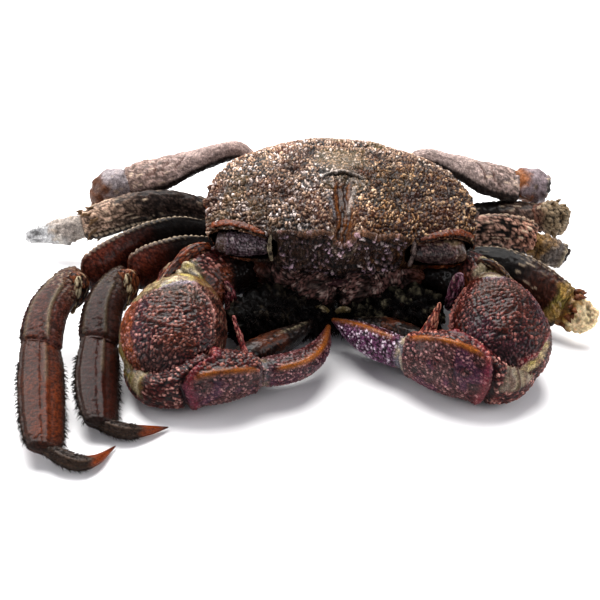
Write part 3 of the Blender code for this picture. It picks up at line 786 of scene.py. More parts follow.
# %% Cut, and paint the points that are new along the cut
def paint_seam(mesh):
    """The points where two skins meet have no paint yet, so they take the mean of their neighbours'."""
    count = len(mesh.vertices)
    tint, polish = np.empty(4 * count, np.float32), np.empty(count, np.float32)
    mesh.attributes["tint"].data.foreach_get("color", tint)
    mesh.attributes["polish"].data.foreach_get("value", polish)
    tint = tint.reshape(-1, 4)
    ends = np.empty(2 * len(mesh.edges), np.int32)
    mesh.edges.foreach_get("vertices", ends)
    ends = np.vstack([ends.reshape(-1, 2), ends.reshape(-1, 2)[:, ::-1]])
    for _ in range(4):
        bare = polish == 0
        useful = ends[bare[ends[:, 0]] & ~bare[ends[:, 1]]]
        total, shares = np.zeros((count, 5)), np.zeros(count)
        np.add.at(total, useful[:, 0], np.column_stack([tint, polish])[useful[:, 1]])
        np.add.at(shares, useful[:, 0], 1)
        ready = bare & (shares > 0)
        mean = total[ready] / shares[ready][:, None]
        tint[ready], polish[ready] = mean[:, :4], mean[:, 4]
    mesh.attributes["tint"].data.foreach_set("color", tint.ravel())
    mesh.attributes["polish"].data.foreach_set("value", polish)


def carve(piece, cutters, operation):
    """Cuts closed skins out of a piece, or joins them to it, and keeps the result."""
    for points, faces, tint, polish in cutters:
        helper = bpy.data.objects.new("helper", mesh_of("helper", points, faces, tint, polish))
        bpy.context.scene.collection.objects.link(helper)
        change = piece.modifiers.new("carve", "BOOLEAN")
        change.operation, change.solver, change.object = operation, "MANIFOLD", helper
        graph = bpy.context.evaluated_depsgraph_get()
        made = bpy.data.meshes.new_from_object(piece.evaluated_get(graph))
        piece.modifiers.clear()
        bpy.data.objects.remove(helper)
        old = piece.data
        made.materials.clear()
        made.materials.append(old.materials[0])
        piece.data = made
        made.name = piece.name
        paint_seam(made)
        made.shade_smooth()
        made.set_sharp_from_angle(angle=math.radians(70))
        piece_sizes[piece.name] = sum(len(face.vertices) - 2 for face in made.polygons)


# %% [markdown]
# Now the shell is made on a grid of 282 by 230 cells, which makes a cell about 0.15 mm wide, a third of a
# grain. Each socket is a bent tube laid from the inner to the outer corner of an eye, and it is cut out of
# the finished skin.

# %% Make the upper shell
SOCKET_X, SOCKET_Z = 15.6, 15.1
carapace = sheet("crab_carapace", shell_point, (282, 230, 20), dress_shell, "shell", ["carapace"])
sockets = []
for side in (-1, 1):
    x = side * SOCKET_X
    hollow = tube(path=[(x - side * 5.8, -17.4, SOCKET_Z), (x, -17.3, SOCKET_Z),
                        (x + side * 4.9, -16.4, SOCKET_Z)],
                  height=[4.6, 5.6, 5.0], depth=[6.6, 7.8, 7.0], crest=(0, 0, 1), fine=0.35)
    sockets.append((hollow.p, hollow.faces, PITCH, 0.6))
carve(carapace, sockets, "DIFFERENCE")
print("with its sockets:", piece_sizes["crab_carapace"], "triangles")

# %% [markdown]
# The plate between the eyes is the most wrinkled part of the animal. It gets a thin skin of its own, far
# finer than the dome's wall there, laid on the front of the dome. Curled ridges run round two low bosses on
# it, and below them the plate breaks into level folds.

# %% The plate between the eyes: its sheet and its relief
PLATE_REACH = 9.7


def plate_point(a, b, c):
    """A thin sheet on the front of the dome, from the brow's edge down to the seam."""
    wide = a * PLATE_REACH / (SHELL_WIDTH / 2 * SHELL_PLAN[0])
    front = shell_point(wide, np.full(len(a), -1.0), 1 - 1.96 * (1 - b) / 2)
    return front + np.column_stack([0 * a, 0.30 - 0.42 * (c + 1) / 2, 0 * a])


def crumple(p, b):
    """Knobs, curls, folds and the lip that the ochre channel ends in."""
    x, _, z = p.T
    s = SimpleNamespace(z=z, b=b, slow=drift(p, 2.4, 301), quick=drift(p, 0.8, 303))
    s.knob, s.own = grains(stirred(p, 1.5, 0.75, 305) * np.array([0.7, 1, 1]), 0.62, 307)
    small, _ = grains(stirred(p, 0.8, 0.2, 309), 0.34, 311)
    swirl = np.hypot((np.abs(x) - 6.6) * 0.9, z - 14.6 + 0.5 * s.slow)
    s.curls = np.cos(swirl * 5.2 + 1.5 * s.slow) * between(swirl, 0.4, 3.2, 0.5)
    folds = (1 - rise(z + 0.5 * s.slow, 10.6, 12.4)) * np.sin(z * 6.2 + 0.10 * np.abs(x) ** 2 + 1.5 * s.slow)
    s.lip = bump(np.hypot(x - 0.3, (z - 17.6) * 0.62), 1.75, 0.22) * (z < 17.4)
    s.relief = 0.42 * (s.knob - 0.45) + 0.12 * (small - 0.5) + 0.30 * s.curls + 0.34 * folds + 0.22 * s.slow
    s.relief += 0.45 * bump(z, 12.5, 0.32) - 0.35 * bump(z, 11.8, 0.30)
    s.relief += 0.35 * bump(np.abs(x), 4.7, 1.7) * rise(z, 14.5, 17.0) + 0.30 * rise(b, 0.86, 0.98)
    s.relief += 0.25 * s.lip
    return s


# %% [markdown]
# The plate is painted nearly black, as the shadow it hangs in, and darker still in the troughs of its curls,
# in its fold and towards its lower edge. Only the tops of its knobs carry painted highlights, grey to silver,
# the crests of its curls are painted grey as lit, and its edges are brown. The sheet is thin, so its relief
# fades out towards its back face.

# %% Colour of the plate, and the plate itself
def dress_plate(p, a, b, c):
    s = crumple(p, b)
    tint = wash(PITCH, wash(PLATE_DARK, SHELL_BROWN, 0.15), rise(s.knob, 0.35, 0.75))
    tops = rise(s.knob, 0.66, 0.96) * rise(s.own + 0.4 * s.slow, 0.45, 0.9)
    # Painted highlights: grey to silver on the knobs' tops, grey on the crests of the curls.
    tint = wash(tint, PLATE_GREY * (2.2, 2.2, 2.6), tops)
    tint = wash(tint, SHELL_GLINT, 0.8 * rise(s.own + 0.3 * s.quick, 0.82, 0.95) * rise(s.knob, 0.7, 1))
    tint = wash(tint, PLATE_GREY, 0.40 * rise(s.curls, 0.5, 1) * rise(s.knob, 0.3, 0.7))
    # Painted shade in the troughs of the curls, in the fold and towards the lower edge.
    tint = wash(tint, PITCH, 0.7 * rise(-s.curls, 0.2, 0.9) + 0.7 * bump(s.z, 11.8, 0.4))
    tint = wash(tint, PITCH, 0.75 * (1 - rise(s.z, 8.8, 11.8)))
    tint = wash(tint, SHELL_BROWN, 0.35 * rise(s.b, 0.86, 0.98) + 0.3 * rise(s.quick, 0.3, 0.6) * s.knob)
    tint = wash(tint, LEG_BEAD, 0.3 * s.lip * s.knob)
    return s.relief * rise(c, 0.2, 0.9), tint * (1.95 + 1.0 * s.slow[:, None]), 0.46 - 0.26 * s.knob


sheet("crab_front_plate", plate_point, (156, 80, 1), dress_plate, "shell")

# %% [markdown]
# ## Eyes and their sockets
# A live crab lifts its eyes on stalks. Here they lie folded in their sockets under a thin orange-red brow.
# The stalk is a limb like any other, with fine rings round it and the horny dome of the eye at its outer
# end.

# %% Eyestalks
SIDES = (("left", -1), ("right", 1))
STALK_SHADES = {-1: (0.9, 0.88, 0.85), 1: (0.9, 0.78, 0.62)}


def dress_eye(f, side):
    pillow, own = grains(stirred(f.p, 1.2, 0.25, 3), np.array([0.42, 0.5, 0.5]), 5)
    slow = drift(f.p, 1.6, 9)
    horn = rise(f.t, 0.68, 0.80)
    relief = 0.11 * (pillow - 0.4) * (1 - horn) + 0.12 * slow + 0.14 * ring(f, 0.70, 0.2)
    relief -= 0.16 * ring(f, 0.64, 0.16) + 0.14 * ring(f, 0.30 + 0.03 * slow, 0.2) * line(f, -90, 3.0)
    tint = wash(PITCH, EYE_VIOLET, rise(pillow, 0.2, 0.6))
    # The grey tops are partly the stalk's own grey and partly painted highlight, and the silver flecks are
    # painted glints.
    tint = wash(tint, EYE_GREY, rise(pillow, 0.6, 0.95) * (0.4 + 0.6 * own))
    tint = wash(tint, SHELL_GLINT, 0.55 * rise(own, 0.75, 0.9) * rise(pillow, 0.6, 1))
    if side > 0:
        tint = wash(tint, wash(SHELL_RUST, SKIN_CREAM, rise(slow, 0.1, 0.5)), 0.45 * rise(slow, -0.3, 0.4))
    tint = wash(tint, PITCH, 0.6 * rise(-slow, 0.1, 0.5))
    tint = wash(tint, EYE_HORN, horn * (0.35 + 0.3 * slow))
    return relief, tint * STALK_SHADES[side], 0.34 - 0.14 * horn + 0.1 * (1 - pillow)


for word, side in SIDES:
    path = [(SOCKET_X - 4.7, -16.3, SOCKET_Z), (SOCKET_X, -16.1, SOCKET_Z - 0.2),
            (SOCKET_X + 3.7, -15.4, SOCKET_Z - 0.2)]
    stalk = dict(path=np.array(path) * (side, 1, 1), height=[3.2, 3.8, 3.8, 4.0], depth=[2.8, 3.3, 3.2, 3.4],
                 crest=(0, 0, 1))
    limb(f"crab_eyestalk_{word}", stalk, dress_eye, "eye", [f"eyestalk_{word}"], fine=0.16, side=side)
print("eyestalks:", piece_sizes["crab_eyestalk_left"], "triangles each")

# %% [markdown]
# The brow is three thin lips laid one under the other along the socket's upper edge, and at the inner corner
# of each eye stands a post, pale on the left. The middle lip is painted dark, as the shadow under the upper
# one. A sharp fold in the shell's own grid would be jagged. As tubes along the edge they are smooth.

# %% Orange brows over the sockets, and the post at each inner corner
BROW = [(20.9, -15.2, 16.7), (19.6, -15.3, 17.8), (17.2, -15.6, 18.45), (14.4, -16.6, 18.4),
        (11.9, -17.6, 18.0)]
BROW_BROWN = wash(RIM_DARK, RIM_ORANGE, 0.55)
# The middle lip's colours are painted shadow under the upper lip.
LIPS = {  # drawn in by, moved by, heights, depths, bright, dark
    "upper": (1.0, (0, -0.1, 0), [0.3, 0.34, 0.36, 0.3], [0.7, 1.2, 1.3, 0.8], BROW_BROWN, RIM_DARK),
    "middle": (0.99, (0, 0.15, -0.5), [0.3, 0.5, 0.5, 0.3], [0.5, 0.7, 0.7, 0.5], RIM_DARK, PITCH),
    "lower": (0.98, (0, 0.1, -1.0), [0.2, 0.26, 0.26, 0.2], [0.5, 0.8, 0.8, 0.5],
              wash(BROW_BROWN, SKIN_CREAM, 0.25), RIM_DARK),
}
POST = [(10.9, -17.9, 18.0), (11.1, -17.8, 15.6), (10.6, -17.3, 12.9)]
POST_SHADES = {-1: wash(SKIN_CREAM, PLATE_GREY, 0.1), 1: wash(SKIN_CREAM, PLATE_GREY, 0.85)}


def dress_lip(f, bright, dark):
    swell, fine = drift(f.p, 0.9, 71), drift(f.p, 0.35, 72)
    relief = 0.10 * swell + 0.05 * fine + 0.05 * np.cos(f.mm * 7 + 2 * swell) * line(f, 0, 0.3)
    return relief, wash(dark, bright, 0.5 + 0.6 * swell + 0.4 * fine), 0.34 + 0 * f.t


for word, side in SIDES:
    for lip, (drawn_in, moved, height, depth, bright, dark) in LIPS.items():
        edge = np.array(BROW) * (side, 1, 1) * (drawn_in, 1, 1) + moved
        limb(f"brow_{lip}_{word}", dict(path=edge, height=height, depth=depth, crest=(0, -0.3, 1)),
             dress_lip, "shell", fine=0.12, bright=bright, dark=dark)
    post = dict(path=np.array(POST) * (side, 1, 1), height=[0.5, 0.7, 0.6], depth=[0.5, 0.8, 0.7],
                crest=(1, 0, 0))
    limb(f"socket_post_{word}", post, dress_lip, "shell", fine=0.12, bright=POST_SHADES[side],
         dark=PLATE_DARK)
print("brows:", len(SIDES) * len(LIPS), "lips")

# %% [markdown]
# ## Underside, mouth and the bases of the limbs
# The breastplate is a second draped skin, turned over: its fine face is the one that lies on the table. It
# is paler and smoother than the back, with grooves between its plates, and the broad tail flap lies in its
# middle. On the rear wall the flap shows as level rungs.

# %% The breastplate
UNDER_PLAN = (14.6, 15.6, 15.8, 15.4, 14.4, 12.4, 9.0)
FLAP_PLAN = (2.0, 2.2, 3.4, 4.6, 5.6, 6.2, 6.0)
FLAP_DEPTH, CLEARANCE = 0.7, 0.35
BELLY_DARK, BELLY_PALE = pigment(108, 86, 62), pigment(150, 128, 96)


def under_point(a, b, c):
    """The breastplate, its face down, with the tail flap lying flat in its middle."""
    share = (1 - c) / 2
    along = np.interp(b, [-1, -0.8, -0.6, 1], [-1, -0.74, -0.68, 1])
    half = through(UNDER_PLAN, (along + 1) / 2) * (0.76 + 0.24 * share)
    flap_half = through(FLAP_PLAN, (along + 1) / 2)
    across = np.abs(a)
    outer = flap_half + 0.4 + (half - flap_half - 0.4) * (across - 0.6) / 0.4
    step = flap_half + 0.4 * (across - 0.4) / 0.2
    x = -np.sign(a) * np.where(across < 0.4, flap_half * across / 0.4, np.where(across < 0.6, step, outer))
    y = (0.4 + 15.0 * along) * (0.84 + 0.16 * share)
    flap = (1 - rise(across, 0.4, 0.6)) * rise(b, -0.8, -0.6)
    floor = (1 - flap) * (FLAP_DEPTH + 1.8 * np.maximum(across, np.abs(b)) ** 5)
    return np.column_stack([x, y, floor + (SEAM_Z - CLEARANCE - floor) * share])


def dress_under(p, a, b, c):
    x, y, z = p.T
    flap = (np.abs(a) < 0.5) & (b > -0.7)
    pillow, _ = grains(stirred(p, 2, 0.2, 13), 0.7, 15)
    seams = np.array([bump(y - 0.05 * np.abs(x), at, 0.22)
                      for at in (-9.6, -5.9, -1.9, 2.2, 6.2, 10.0)]).max(0)
    slow = drift(p, 4, 17)
    tail = rise(y, 10, 13)
    rungs = np.array([bump(z + 0.02 * x ** 2, at, 0.22) for at in (1.7, 3.6, 5.5, 7.2)]).max(0) * tail
    relief = -0.22 * seams * (1 - tail) - 0.40 * rungs + (0.04 + 0.10 * tail) * (pillow - 0.5)
    tint = wash(wash(BELLY_DARK, BELLY_PALE, rise(slow, -0.4, 0.5)), SHELL_DEEP, 0.6 * seams)
    wall = wash(PLATE_DARK, SHELL_BROWN, 0.2 + 0.7 * pillow * (0.5 + slow))
    tint = wash(wash(tint, wall, rise(z, 1.5, 4.5) * 0.9), PITCH, 0.7 * rungs)
    return relief + 0.08 * slow * (1 - flap), tint, 0.48 + 0.06 * slow


underside = sheet("crab_underside", under_point, (92, 100, 12), dress_under, "underside", ["underside"])

# %% [markdown]
# Ten limbs grow out of the breastplate, and each has a stout base. The bases are joined to it, as in the
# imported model, so that it stays one closed piece.

# %% The bases of the limbs
HIPS = {  # x, y, z, thickness
    "claw": (11.6, -10.4, 5.2, 5.0),
    "leg_1": (13.6, -5.8, 5.2, 5.0),
    "leg_2": (14.4, -0.4, 5.0, 5.2),
    "leg_3": (13.8, 5.4, 5.0, 5.0),
    "leg_4": (11.2, 10.8, 5.0, 4.8),
}
HIP_REACH = 3.25


def hip(x, y, z, thick):
    """A short, thick base that points out of the breastplate, dark brown with an olive rim."""
    middle, out = np.array([x, y, z]), np.array([x, 0.45 * y, 0.0])
    out *= HIP_REACH / np.linalg.norm(out)
    f = tube(path=[middle - out, middle, middle + out], height=[thick * 0.9, thick, thick * 0.95],
             depth=[thick * 0.85, thick * 0.95, thick * 0.9], crest=(0, 0, 1), fine=0.3)
    pillow, _ = grains(f.p, 0.7, 19)
    skin = f.p + (0.08 * (pillow - 0.5) + 0.12 * ring(f, 0.8, 0.4))[:, None] * outward_of(f.p, f.faces)
    brown = wash(LEG_BLACK, LEG_BROWN, 0.5 * pillow)
    return skin, f.faces, wash(brown, SKIN_OLIVE, 0.25 * ring(f, 0.9, 0.8)), 0.45


carve(underside, [hip(side * x, y, z, thick) for _, side in SIDES for x, y, z, thick in HIPS.values()],
      "UNION")
print("with its bases:", piece_sizes["crab_underside"], "triangles")

# %% [markdown]
# The mouth is closed by two plates that hang like doors, each with a pale feeler folded across it. Above
# them a low frame carries a few cream and pink grains. The light catches little more than the frame's edge
# and the feelers.

# %% Skins of the mouth
MOUTH_PINK, MOUTH_CREAM = pigment(150, 108, 100), pigment(246, 214, 200)


def dress_mouth(f):
    pillow, own = grains(stirred(f.p, 1, 0.15, 21), 0.42, 23)
    slow = drift(f.p, 2.2, 25)
    relief = 0.10 * (pillow - 0.4) - 0.16 * line(f, 70, 0.3) + 0.14 * line(f, 110, 0.35)
    relief += 0.12 * ring(f, 0.44, 0.25) + 0.35 * slow + 0.20 * np.sin(f.p[:, 2] * 5 + 3 * slow)
    tint = wash(PITCH, MOUTH_PINK, rise(pillow, 0.2, 0.9))
    tint = wash(tint, MOUTH_CREAM, 0.7 * rise(own, 0.7, 0.9) * pillow) * 1.35
    tint = wash(tint, PITCH, 0.8 * rise(-slow, 0.0, 0.4))
    return relief, wash(tint, RIM_ORANGE, 0.3 * rise(f.t, 0.6, 0.9)), 0.34 + 0.1 * (1 - pillow)


def dress_frame(f, bright, dark, size):
    pillow, own = grains(f.p, size, 27)
    tint = wash(dark, bright, rise(own, 0.45, 0.8) * pillow)
    return 0.14 * (pillow - 0.4), tint, 0.34 + 0 * f.t


# %% [markdown]
# Besides the two plates there is a cheek behind each of them, dark like them, which closes the gap towards
# the claw and stands for the deep shade in it, and three ridges that step down from the frame. All are tubes,
# written for the right side and mirrored for the left.

# %% Mouth plates, cheeks, feelers, ridges and frame
MOUTH_PLATE = [(3.8, -15.8, 10.2), (3.6, -16.4, 6.6), (3.2, -15.4, 2.4)]
CHEEK = [(6.2, -15.2, 9.8), (9.6, -14.9, 8.6), (13.6, -13.4, 9.4)]
FEELER = [(0.6, -19.2, 4.9), (1.7, -19.3, 5.6), (2.9, -19.0, 5.2)]
FEELERS_MOVED = (-0.8, 0, 0)
for word, side in SIDES:
    mirror = (side, 1, 1)
    plate = dict(path=np.array(MOUTH_PLATE) * mirror, height=[6.2, 6.8, 5.2], depth=[2.2, 2.8, 2.4],
                 crest=(side, 0, 0), corner=2.6)
    limb(f"crab_mouthpart_{word}", plate, dress_mouth, "underside", [f"mouthpart_{word}"], fine=0.20)
    # The cheek is as dark as the plates, and also stands for the deep shade in the gap.
    cheek = dict(path=np.array(CHEEK) * mirror, height=[4.6, 5.4, 4.0], depth=[2.0, 2.4, 2.0],
                 crest=(0, 0, 1))
    limb(f"crab_cheek_{word}", cheek, dress_mouth, "underside", fine=0.26)
    feeler = dict(path=np.array(FEELER) * mirror + FEELERS_MOVED, height=[0.8, 1.0, 0.7],
                  depth=[0.7, 0.9, 0.7], crest=(0, 0, 1))
    limb(f"feeler_{word}", feeler, dress_frame, "underside", fine=0.12,
         bright=SKIN_CREAM, dark=pigment(120, 104, 66), size=0.5)
    for step in range(3):
        low = 0.9 * step
        ridge = np.array([(8.6, -15.1 + 0.2 * step, 10.8 - low), (4.5, -15.9, 10.6 - low),
                          (0.8, -16.2, 10.9 - low)])
        limb(f"mouth_ridge_{step}_{word}",
             dict(path=ridge * mirror, height=[0.3, 0.5, 0.4], depth=[0.6, 0.9, 0.6],
                                                crest=(0, -0.4, 1)),
             dress_frame, "underside", fine=0.14, bright=PLATE_GREY, dark=PLATE_DARK, size=0.45)
limb("mouth_frame", dict(path=[(-2.2, -16.6, 8.5), (0.2, -16.9, 8.9), (2.6, -16.6, 8.7)],
                         height=[0.8, 1.3, 0.8],
                         depth=[0.8, 1.1, 0.8], crest=(0, 0, 1)),
     dress_frame, "underside", fine=0.12, bright=pigment(190, 150, 140), dark=pigment(70, 40, 44), size=0.62)
print("mouth:", piece_sizes["crab_mouthpart_left"], "triangles a plate")

# %% [markdown]
# ## Claws
# Both claws are folded in front of the mouth. Each has an arm, a swollen wrist, a palm with a finger fixed
# to it, and a finger that moves. They lie folded differently, so each has its own measures: a middle line
# for every plate, and how high and broad it is along that line.

# %% The claws' measures
CLAWS = {
    "left": dict(
        side=-1,
        arm=[(-11.0, -10.6, 6.8), (-18.4, -14.8, 8.2), (-25.4, -21.2, 8.0)],
        arm_height=[5.0, 8.0, 10.6, 10.8],
        arm_depth=[4.6, 6.4, 9.4, 11.2],
        wrist=[(-22.8, -19.4, 10.2), (-24.8, -28.0, 7.1), (-27.0, -38.4, 4.9)],
        wrist_height=[8.0, 12.8, 13.0, 9.6],
        wrist_breadth=[9.0, 14.4, 15.8, 12.6],
        palm=[(-31.2, -33.6, 3.6), (-27.4, -38.2, 3.5), (-19.2, -37.0, 4.8), (-11.9, -35.5, 4.9)],
        palm_height=[5.0, 6.6, 9.8, 7.4],
        palm_crest=(0.1, -0.7, 0.7),
        finger=[(-13.0, -35.8, 4.8), (-6.4, -33.0, 4.6), (-3.0, -28.9, 4.7), (-1.5, -23.8, 5.5)],
        fixed=[(-16.6, -34.2, 4.8), (-11.4, -29.0, 4.4), (-7.0, -25.2, 4.4), (-4.0, -21.8, 4.9)],
    ),
    "right": dict(
        side=1,
        arm=[(11.0, -10.6, 6.8), (17.6, -12.6, 8.2), (24.0, -16.4, 7.8)],
        arm_height=[5.0, 8.0, 10.0, 10.4],
        arm_depth=[4.6, 7.0, 9.0, 9.6],
        wrist=[(23.0, -15.8, 10.2), (24.2, -23.8, 7.15), (26.2, -34.2, 4.9)],
        wrist_height=[8.0, 12.8, 13.0, 9.6],
        wrist_breadth=[5.5, 12.4, 15.4, 13.0],
        palm=[(29.6, -29.0, 3.6), (24.8, -34.2, 3.8), (17.2, -32.6, 5.6), (9.8, -29.4, 5.0)],
        palm_height=[5.2, 7.0, 10.8, 7.8],
        palm_crest=(0.0, -0.35, 0.94),
        finger=[(10.6, -29.8, 4.9), (5.6, -26.7, 4.8), (2.2, -24.0, 4.8), (-0.8, -21.7, 5.2)],
        fixed=[(14.0, -27.6, 4.6), (8.9, -23.4, 3.9), (5.2, -21.4, 3.8), (1.8, -20.0, 4.1)],
    ),
}
print("a wrist is", max(CLAWS["left"]["wrist_breadth"]), "mm broad")

# %% [markdown]
# A claw's grains are round pearls, pinkish on a dark red skin. Their pale tops are partly painted highlight,
# and the dark grooves between them partly painted shade. The same recipe, with other sizes and pigments,
# serves the whole claw. At the joints the hard shell gives way to thin skin, cream turning olive, and folded
# like a sleeve. A positive angle looks towards the crab's middle on both claws.

# %% Pearls, thin skin and the arm
def pearly(p, size, salt, pit=CLAW_PIT, skin=CLAW_RED, pearl=CLAW_PEARL, shine=0.9):
    """Relief and colour of pearly skin: dark grooves, partly painted shade, red between, and a pale pearl on
    many of the grains, partly painted highlight.
    """
    pillow, own = grains(stirred(p, 2.0, 0.25, salt), size, salt + 1)
    tint = wash(pit * 0.7, skin * (0.7 + 0.6 * own[:, None]), rise(pillow, 0.38, 0.80))
    tint = wash(tint, pearl * 1.4, shine * rise(pillow, 0.70, 0.96) * rise(own, 0.25, 0.85) ** 1.3)
    return (pillow - 0.45) * (0.8 + 0.4 * own), tint, pillow


def soft_skin(p, salt):
    cream = wash(SKIN_CREAM, SKIN_OLIVE, rise(drift(p, 2.4, salt), -0.2, 0.5))
    return wash(cream, SKIN_BLUE, 0.7 * rise(drift(p, 1.8, salt + 5), 0.15, 0.5))


def dress_arm(f, side):
    pearls, tint, pillow = pearly(f.p, 0.6, 101)
    slow = drift(f.p, 2.2, 103)
    inward = f.angle * side
    soft = rise(f.t + 0.03 * slow, 0.76, 0.82) * (1 - rise(inward, 34, 48)) * rise(inward, -60, -35)
    folds = np.sin(f.mm * 3.6 + np.radians(inward) * 2 + 3 * slow)
    relief = 0.24 * pearls * (1 - 0.75 * soft) + 0.30 * slow * soft + 0.22 * soft * folds
    brown = wash(wash(RIM_ORANGE, RIM_DARK, 0.5 + slow), PITCH, 1 - rise(pillow, 0.1, 0.5))
    tint = wash(tint, brown, 0.6 * rise(inward, 20, 60))
    skin = soft_skin(f.p, 107) * (1.1 if side < 0 else 0.85)
    # Painted shade in the troughs of the skin's folds.
    tint = wash(tint, wash(skin, PITCH, 0.85 * rise(-folds, 0.1, 0.9)), 0.92 * soft)
    # Painted shade: the arm is nearly black near the body, where it lies in the dark under the shell.
    shade_at = 0.48 if side < 0 else 0.62
    tint = wash(tint, PITCH, 0.97 * (1 - rise(f.t, shade_at, shade_at + 0.10)))
    return relief, tint, 0.34 + 0.10 * (1 - pillow)


# %% [markdown]
# The wrist is the roundest part of the animal, a dome of pearls between two keels. Its skin is made in three
# layers, like the shell's. The dome comes first: pearls on red, stained violet and rust, wrinkled across the
# crown, whose grain tops carry a painted highlight. Behind the inner keel the grains are drawn out into fine
# ribs that run down the wrist, and the top of the dome is painted a quarter darker, as shade.

# %% The wrist's dome and ribs
KEEL_T = [0.2, 0.3, 0.4, 0.52, 0.7]
KEEL_ANGLES = {-1: [12, 20, 41, 51, 56], 1: [58, 70, 82, 86, 88]}
WRIST_SHADES = {-1: np.array([1.0, 0.96, 0.94]), 1: np.array([0.66, 0.50, 0.50])}
RIB_BROWN = pigment(112, 62, 50)


def pearl_dome(f, w):
    pearls, w.tint, w.pillow = pearly(f.p, 0.58, 111 + w.side)
    w.tint = wash(w.tint, wash(CLAW_PIT, CLAW_VIOLET, w.pillow), 0.45 * rise(w.slower, 0.0, 0.5))
    rusty = 0.45 * rise(-w.slower + 0.3 * w.slow, 0.0, 0.5)
    w.tint = wash(w.tint, wash(CLAW_PIT, SHELL_RUST, w.pillow), rusty)
    lower = rise(f.t, 0.78, 0.92) * (1 - rise(np.abs(w.inward + 5), 30, 50))
    w.tint = wash(w.tint, wash(CLAW_PIT, CLAW_GREY, 0.8 * w.pillow), 0.6 * lower)
    crown = between(f.t, 0.26, 0.46, 0.06) * (1 - rise(np.abs(w.inward - 2), 22, 45))
    # Painted highlight on the crown's grain tops.
    w.tint = wash(w.tint, LEG_BEAD, 0.22 * crown * w.pillow)
    w.relief = 0.30 * pearls - 0.10 * crown * np.cos(f.mm * 6.5 + 4 * w.slow) + 0.16 * w.slow


def rib_inside(f, w):
    keel_at = np.interp(f.t, KEEL_T, KEEL_ANGLES[w.side])
    ribs, own = along_grains(f, 1.7, 0.42, 131)
    inner = rise(w.inward - keel_at, 3, 9)
    rib_tint = wash(PITCH, RIB_BROWN, rise(ribs, 0.2, 0.7))
    w.tint = wash(w.tint, wash(rib_tint, LEG_BEAD, 0.5 * rise(ribs, 0.75, 1) * own), inner)
    w.relief = w.relief * (1 - inner) + 0.20 * (ribs - 0.45) * inner
    keel = line(f, keel_at * w.side, 0.17) * between(f.t, 0.24, 0.56, 0.04)
    w.relief += 0.40 * keel - 0.22 * line(f, (keel_at - 7) * w.side, 0.3) * between(f.t, 0.3, 0.66, 0.04)
    w.tint = wash(w.tint, CLAW_PEARL, 0.85 * keel) * WRIST_SHADES[w.side]
    # Painted shade on the top of the dome.
    middle = between(f.t, 0.25, 0.60, 0.10) * (1 - rise(np.abs(w.inward), 20, 50))
    w.tint = w.tint * (1 - 0.25 * middle)[:, None]


# %% [markdown]
# The second layer is the outer margin, orange on the left claw, red and pink low down on the right one. The
# last is the thin skin, which shows at the wrist's root and at its elbow, where the palm folds back. A lilac
# glint is painted along the hem of the root skin.

# %% The wrist's margins and thin skin
MARGIN_PINK, ROOT_OLIVE, ROOT_BROWN = pigment(150, 24, 34), pigment(168, 146, 84), pigment(120, 84, 40)
ROOT_GLINT = pigment(226, 212, 236)
SKIN_LIGHT = {-1: (1.4, 1.15), 1: (0.75, 2.5)}  # how pale the skin is at the root and at the elbow


def edge_left(f, w):
    margin = between(w.inward, -76, -44, 5) * between(f.t, 0.24, 0.96, 0.05)
    orange = wash(RIM_DARK, RIM_ORANGE * 1.5, 0.5 + 0.7 * w.slow + 0.3 * w.pillow)
    orange = wash(orange, PITCH, 1 - rise(w.pillow, 0.1, 0.4))
    w.tint = wash(w.tint, orange, 0.75 * margin * (1 - rise(w.pillow, 0.75, 1)))
    w.root_at = np.interp(w.inward, [-50, -33, -12, 14, 41], [0.48, 0.42, 0.33, 0.25, 0.25])
    w.elbow = between(w.inward, -112, -74, 7) * between(f.t, 0.60, 0.97, 0.05)


def edge_right(f, w):
    rim_at = np.interp(w.inward, [-60, -51, -42, -14], [0.74, 0.79, 0.90, 0.96])
    margin = ring(f, rim_at, 0.5) * between(w.inward, -62, -4, 6)
    w.relief += 0.25 * margin
    w.tint = wash(w.tint, wash(MARGIN_PINK, CLAW_PINK, rise(w.pillow, 0.5, 0.9)), 0.75 * margin)
    w.root_at = np.interp(w.inward, [-60, -20, 20, 60], [0.14, 0.20, 0.20, 0.14])
    w.elbow = rise(f.t - rim_at, 0.02, 0.04) * between(w.inward, -62, -8, 8)


def bare_skin(f, w):
    root = 1 - rise(f.t + 0.03 * w.slow, w.root_at - 0.03, w.root_at + 0.01)
    skin = wash(soft_skin(f.p, 127), ROOT_OLIVE, 0.6 * rise(-w.inward, 12, 30))
    if w.side < 0:
        skin = wash(skin, wash(ROOT_BROWN, RIM_DARK, rise(w.slow, 0, 0.5)), 0.85 * rise(w.inward, 6, 22))
    skin = wash(skin, RIM_DARK, 0.65 * rise(drift(f.p, 1.2, 129), 0.1, 0.5))
    skin = wash(skin, CLAW_PIT, 0.7 * (1 - rise(w.pillow, 0.1, 0.5)) * rise(np.abs(w.inward), 15, 35))
    folds = np.sin(f.t * 70 + 4 * w.slow)
    for share, light in zip((root, w.elbow), SKIN_LIGHT[w.side]):
        w.relief = w.relief * (1 - 0.85 * share) + 0.12 * share * (folds + w.slow)
        w.tint = wash(w.tint, wash(skin * light, RIM_DARK, 0.6 * rise(folds, 0.2, 0.9)), 0.92 * share)
    # Painted highlight: a lilac glint along the hem of the root skin.
    hem = bump(f.t, w.root_at, 0.03) * between(w.inward, -22, 20, 8) * rise(w.pillow, 0.2, 0.7)
    w.tint = wash(w.tint, ROOT_GLINT, 0.6 * hem)


def dress_wrist(f, side):
    w = SimpleNamespace(side=side, inward=f.angle * side, slow=drift(f.p, 2.2, 123),
                        slower=drift(f.p, 5.0, 125))
    for layer in (pearl_dome, rib_inside, edge_left if side < 0 else edge_right, bare_skin):
        layer(f, w)
    return w.relief, w.tint, 0.32 + 0.14 * (1 - w.pillow) + 0.03 * w.slow


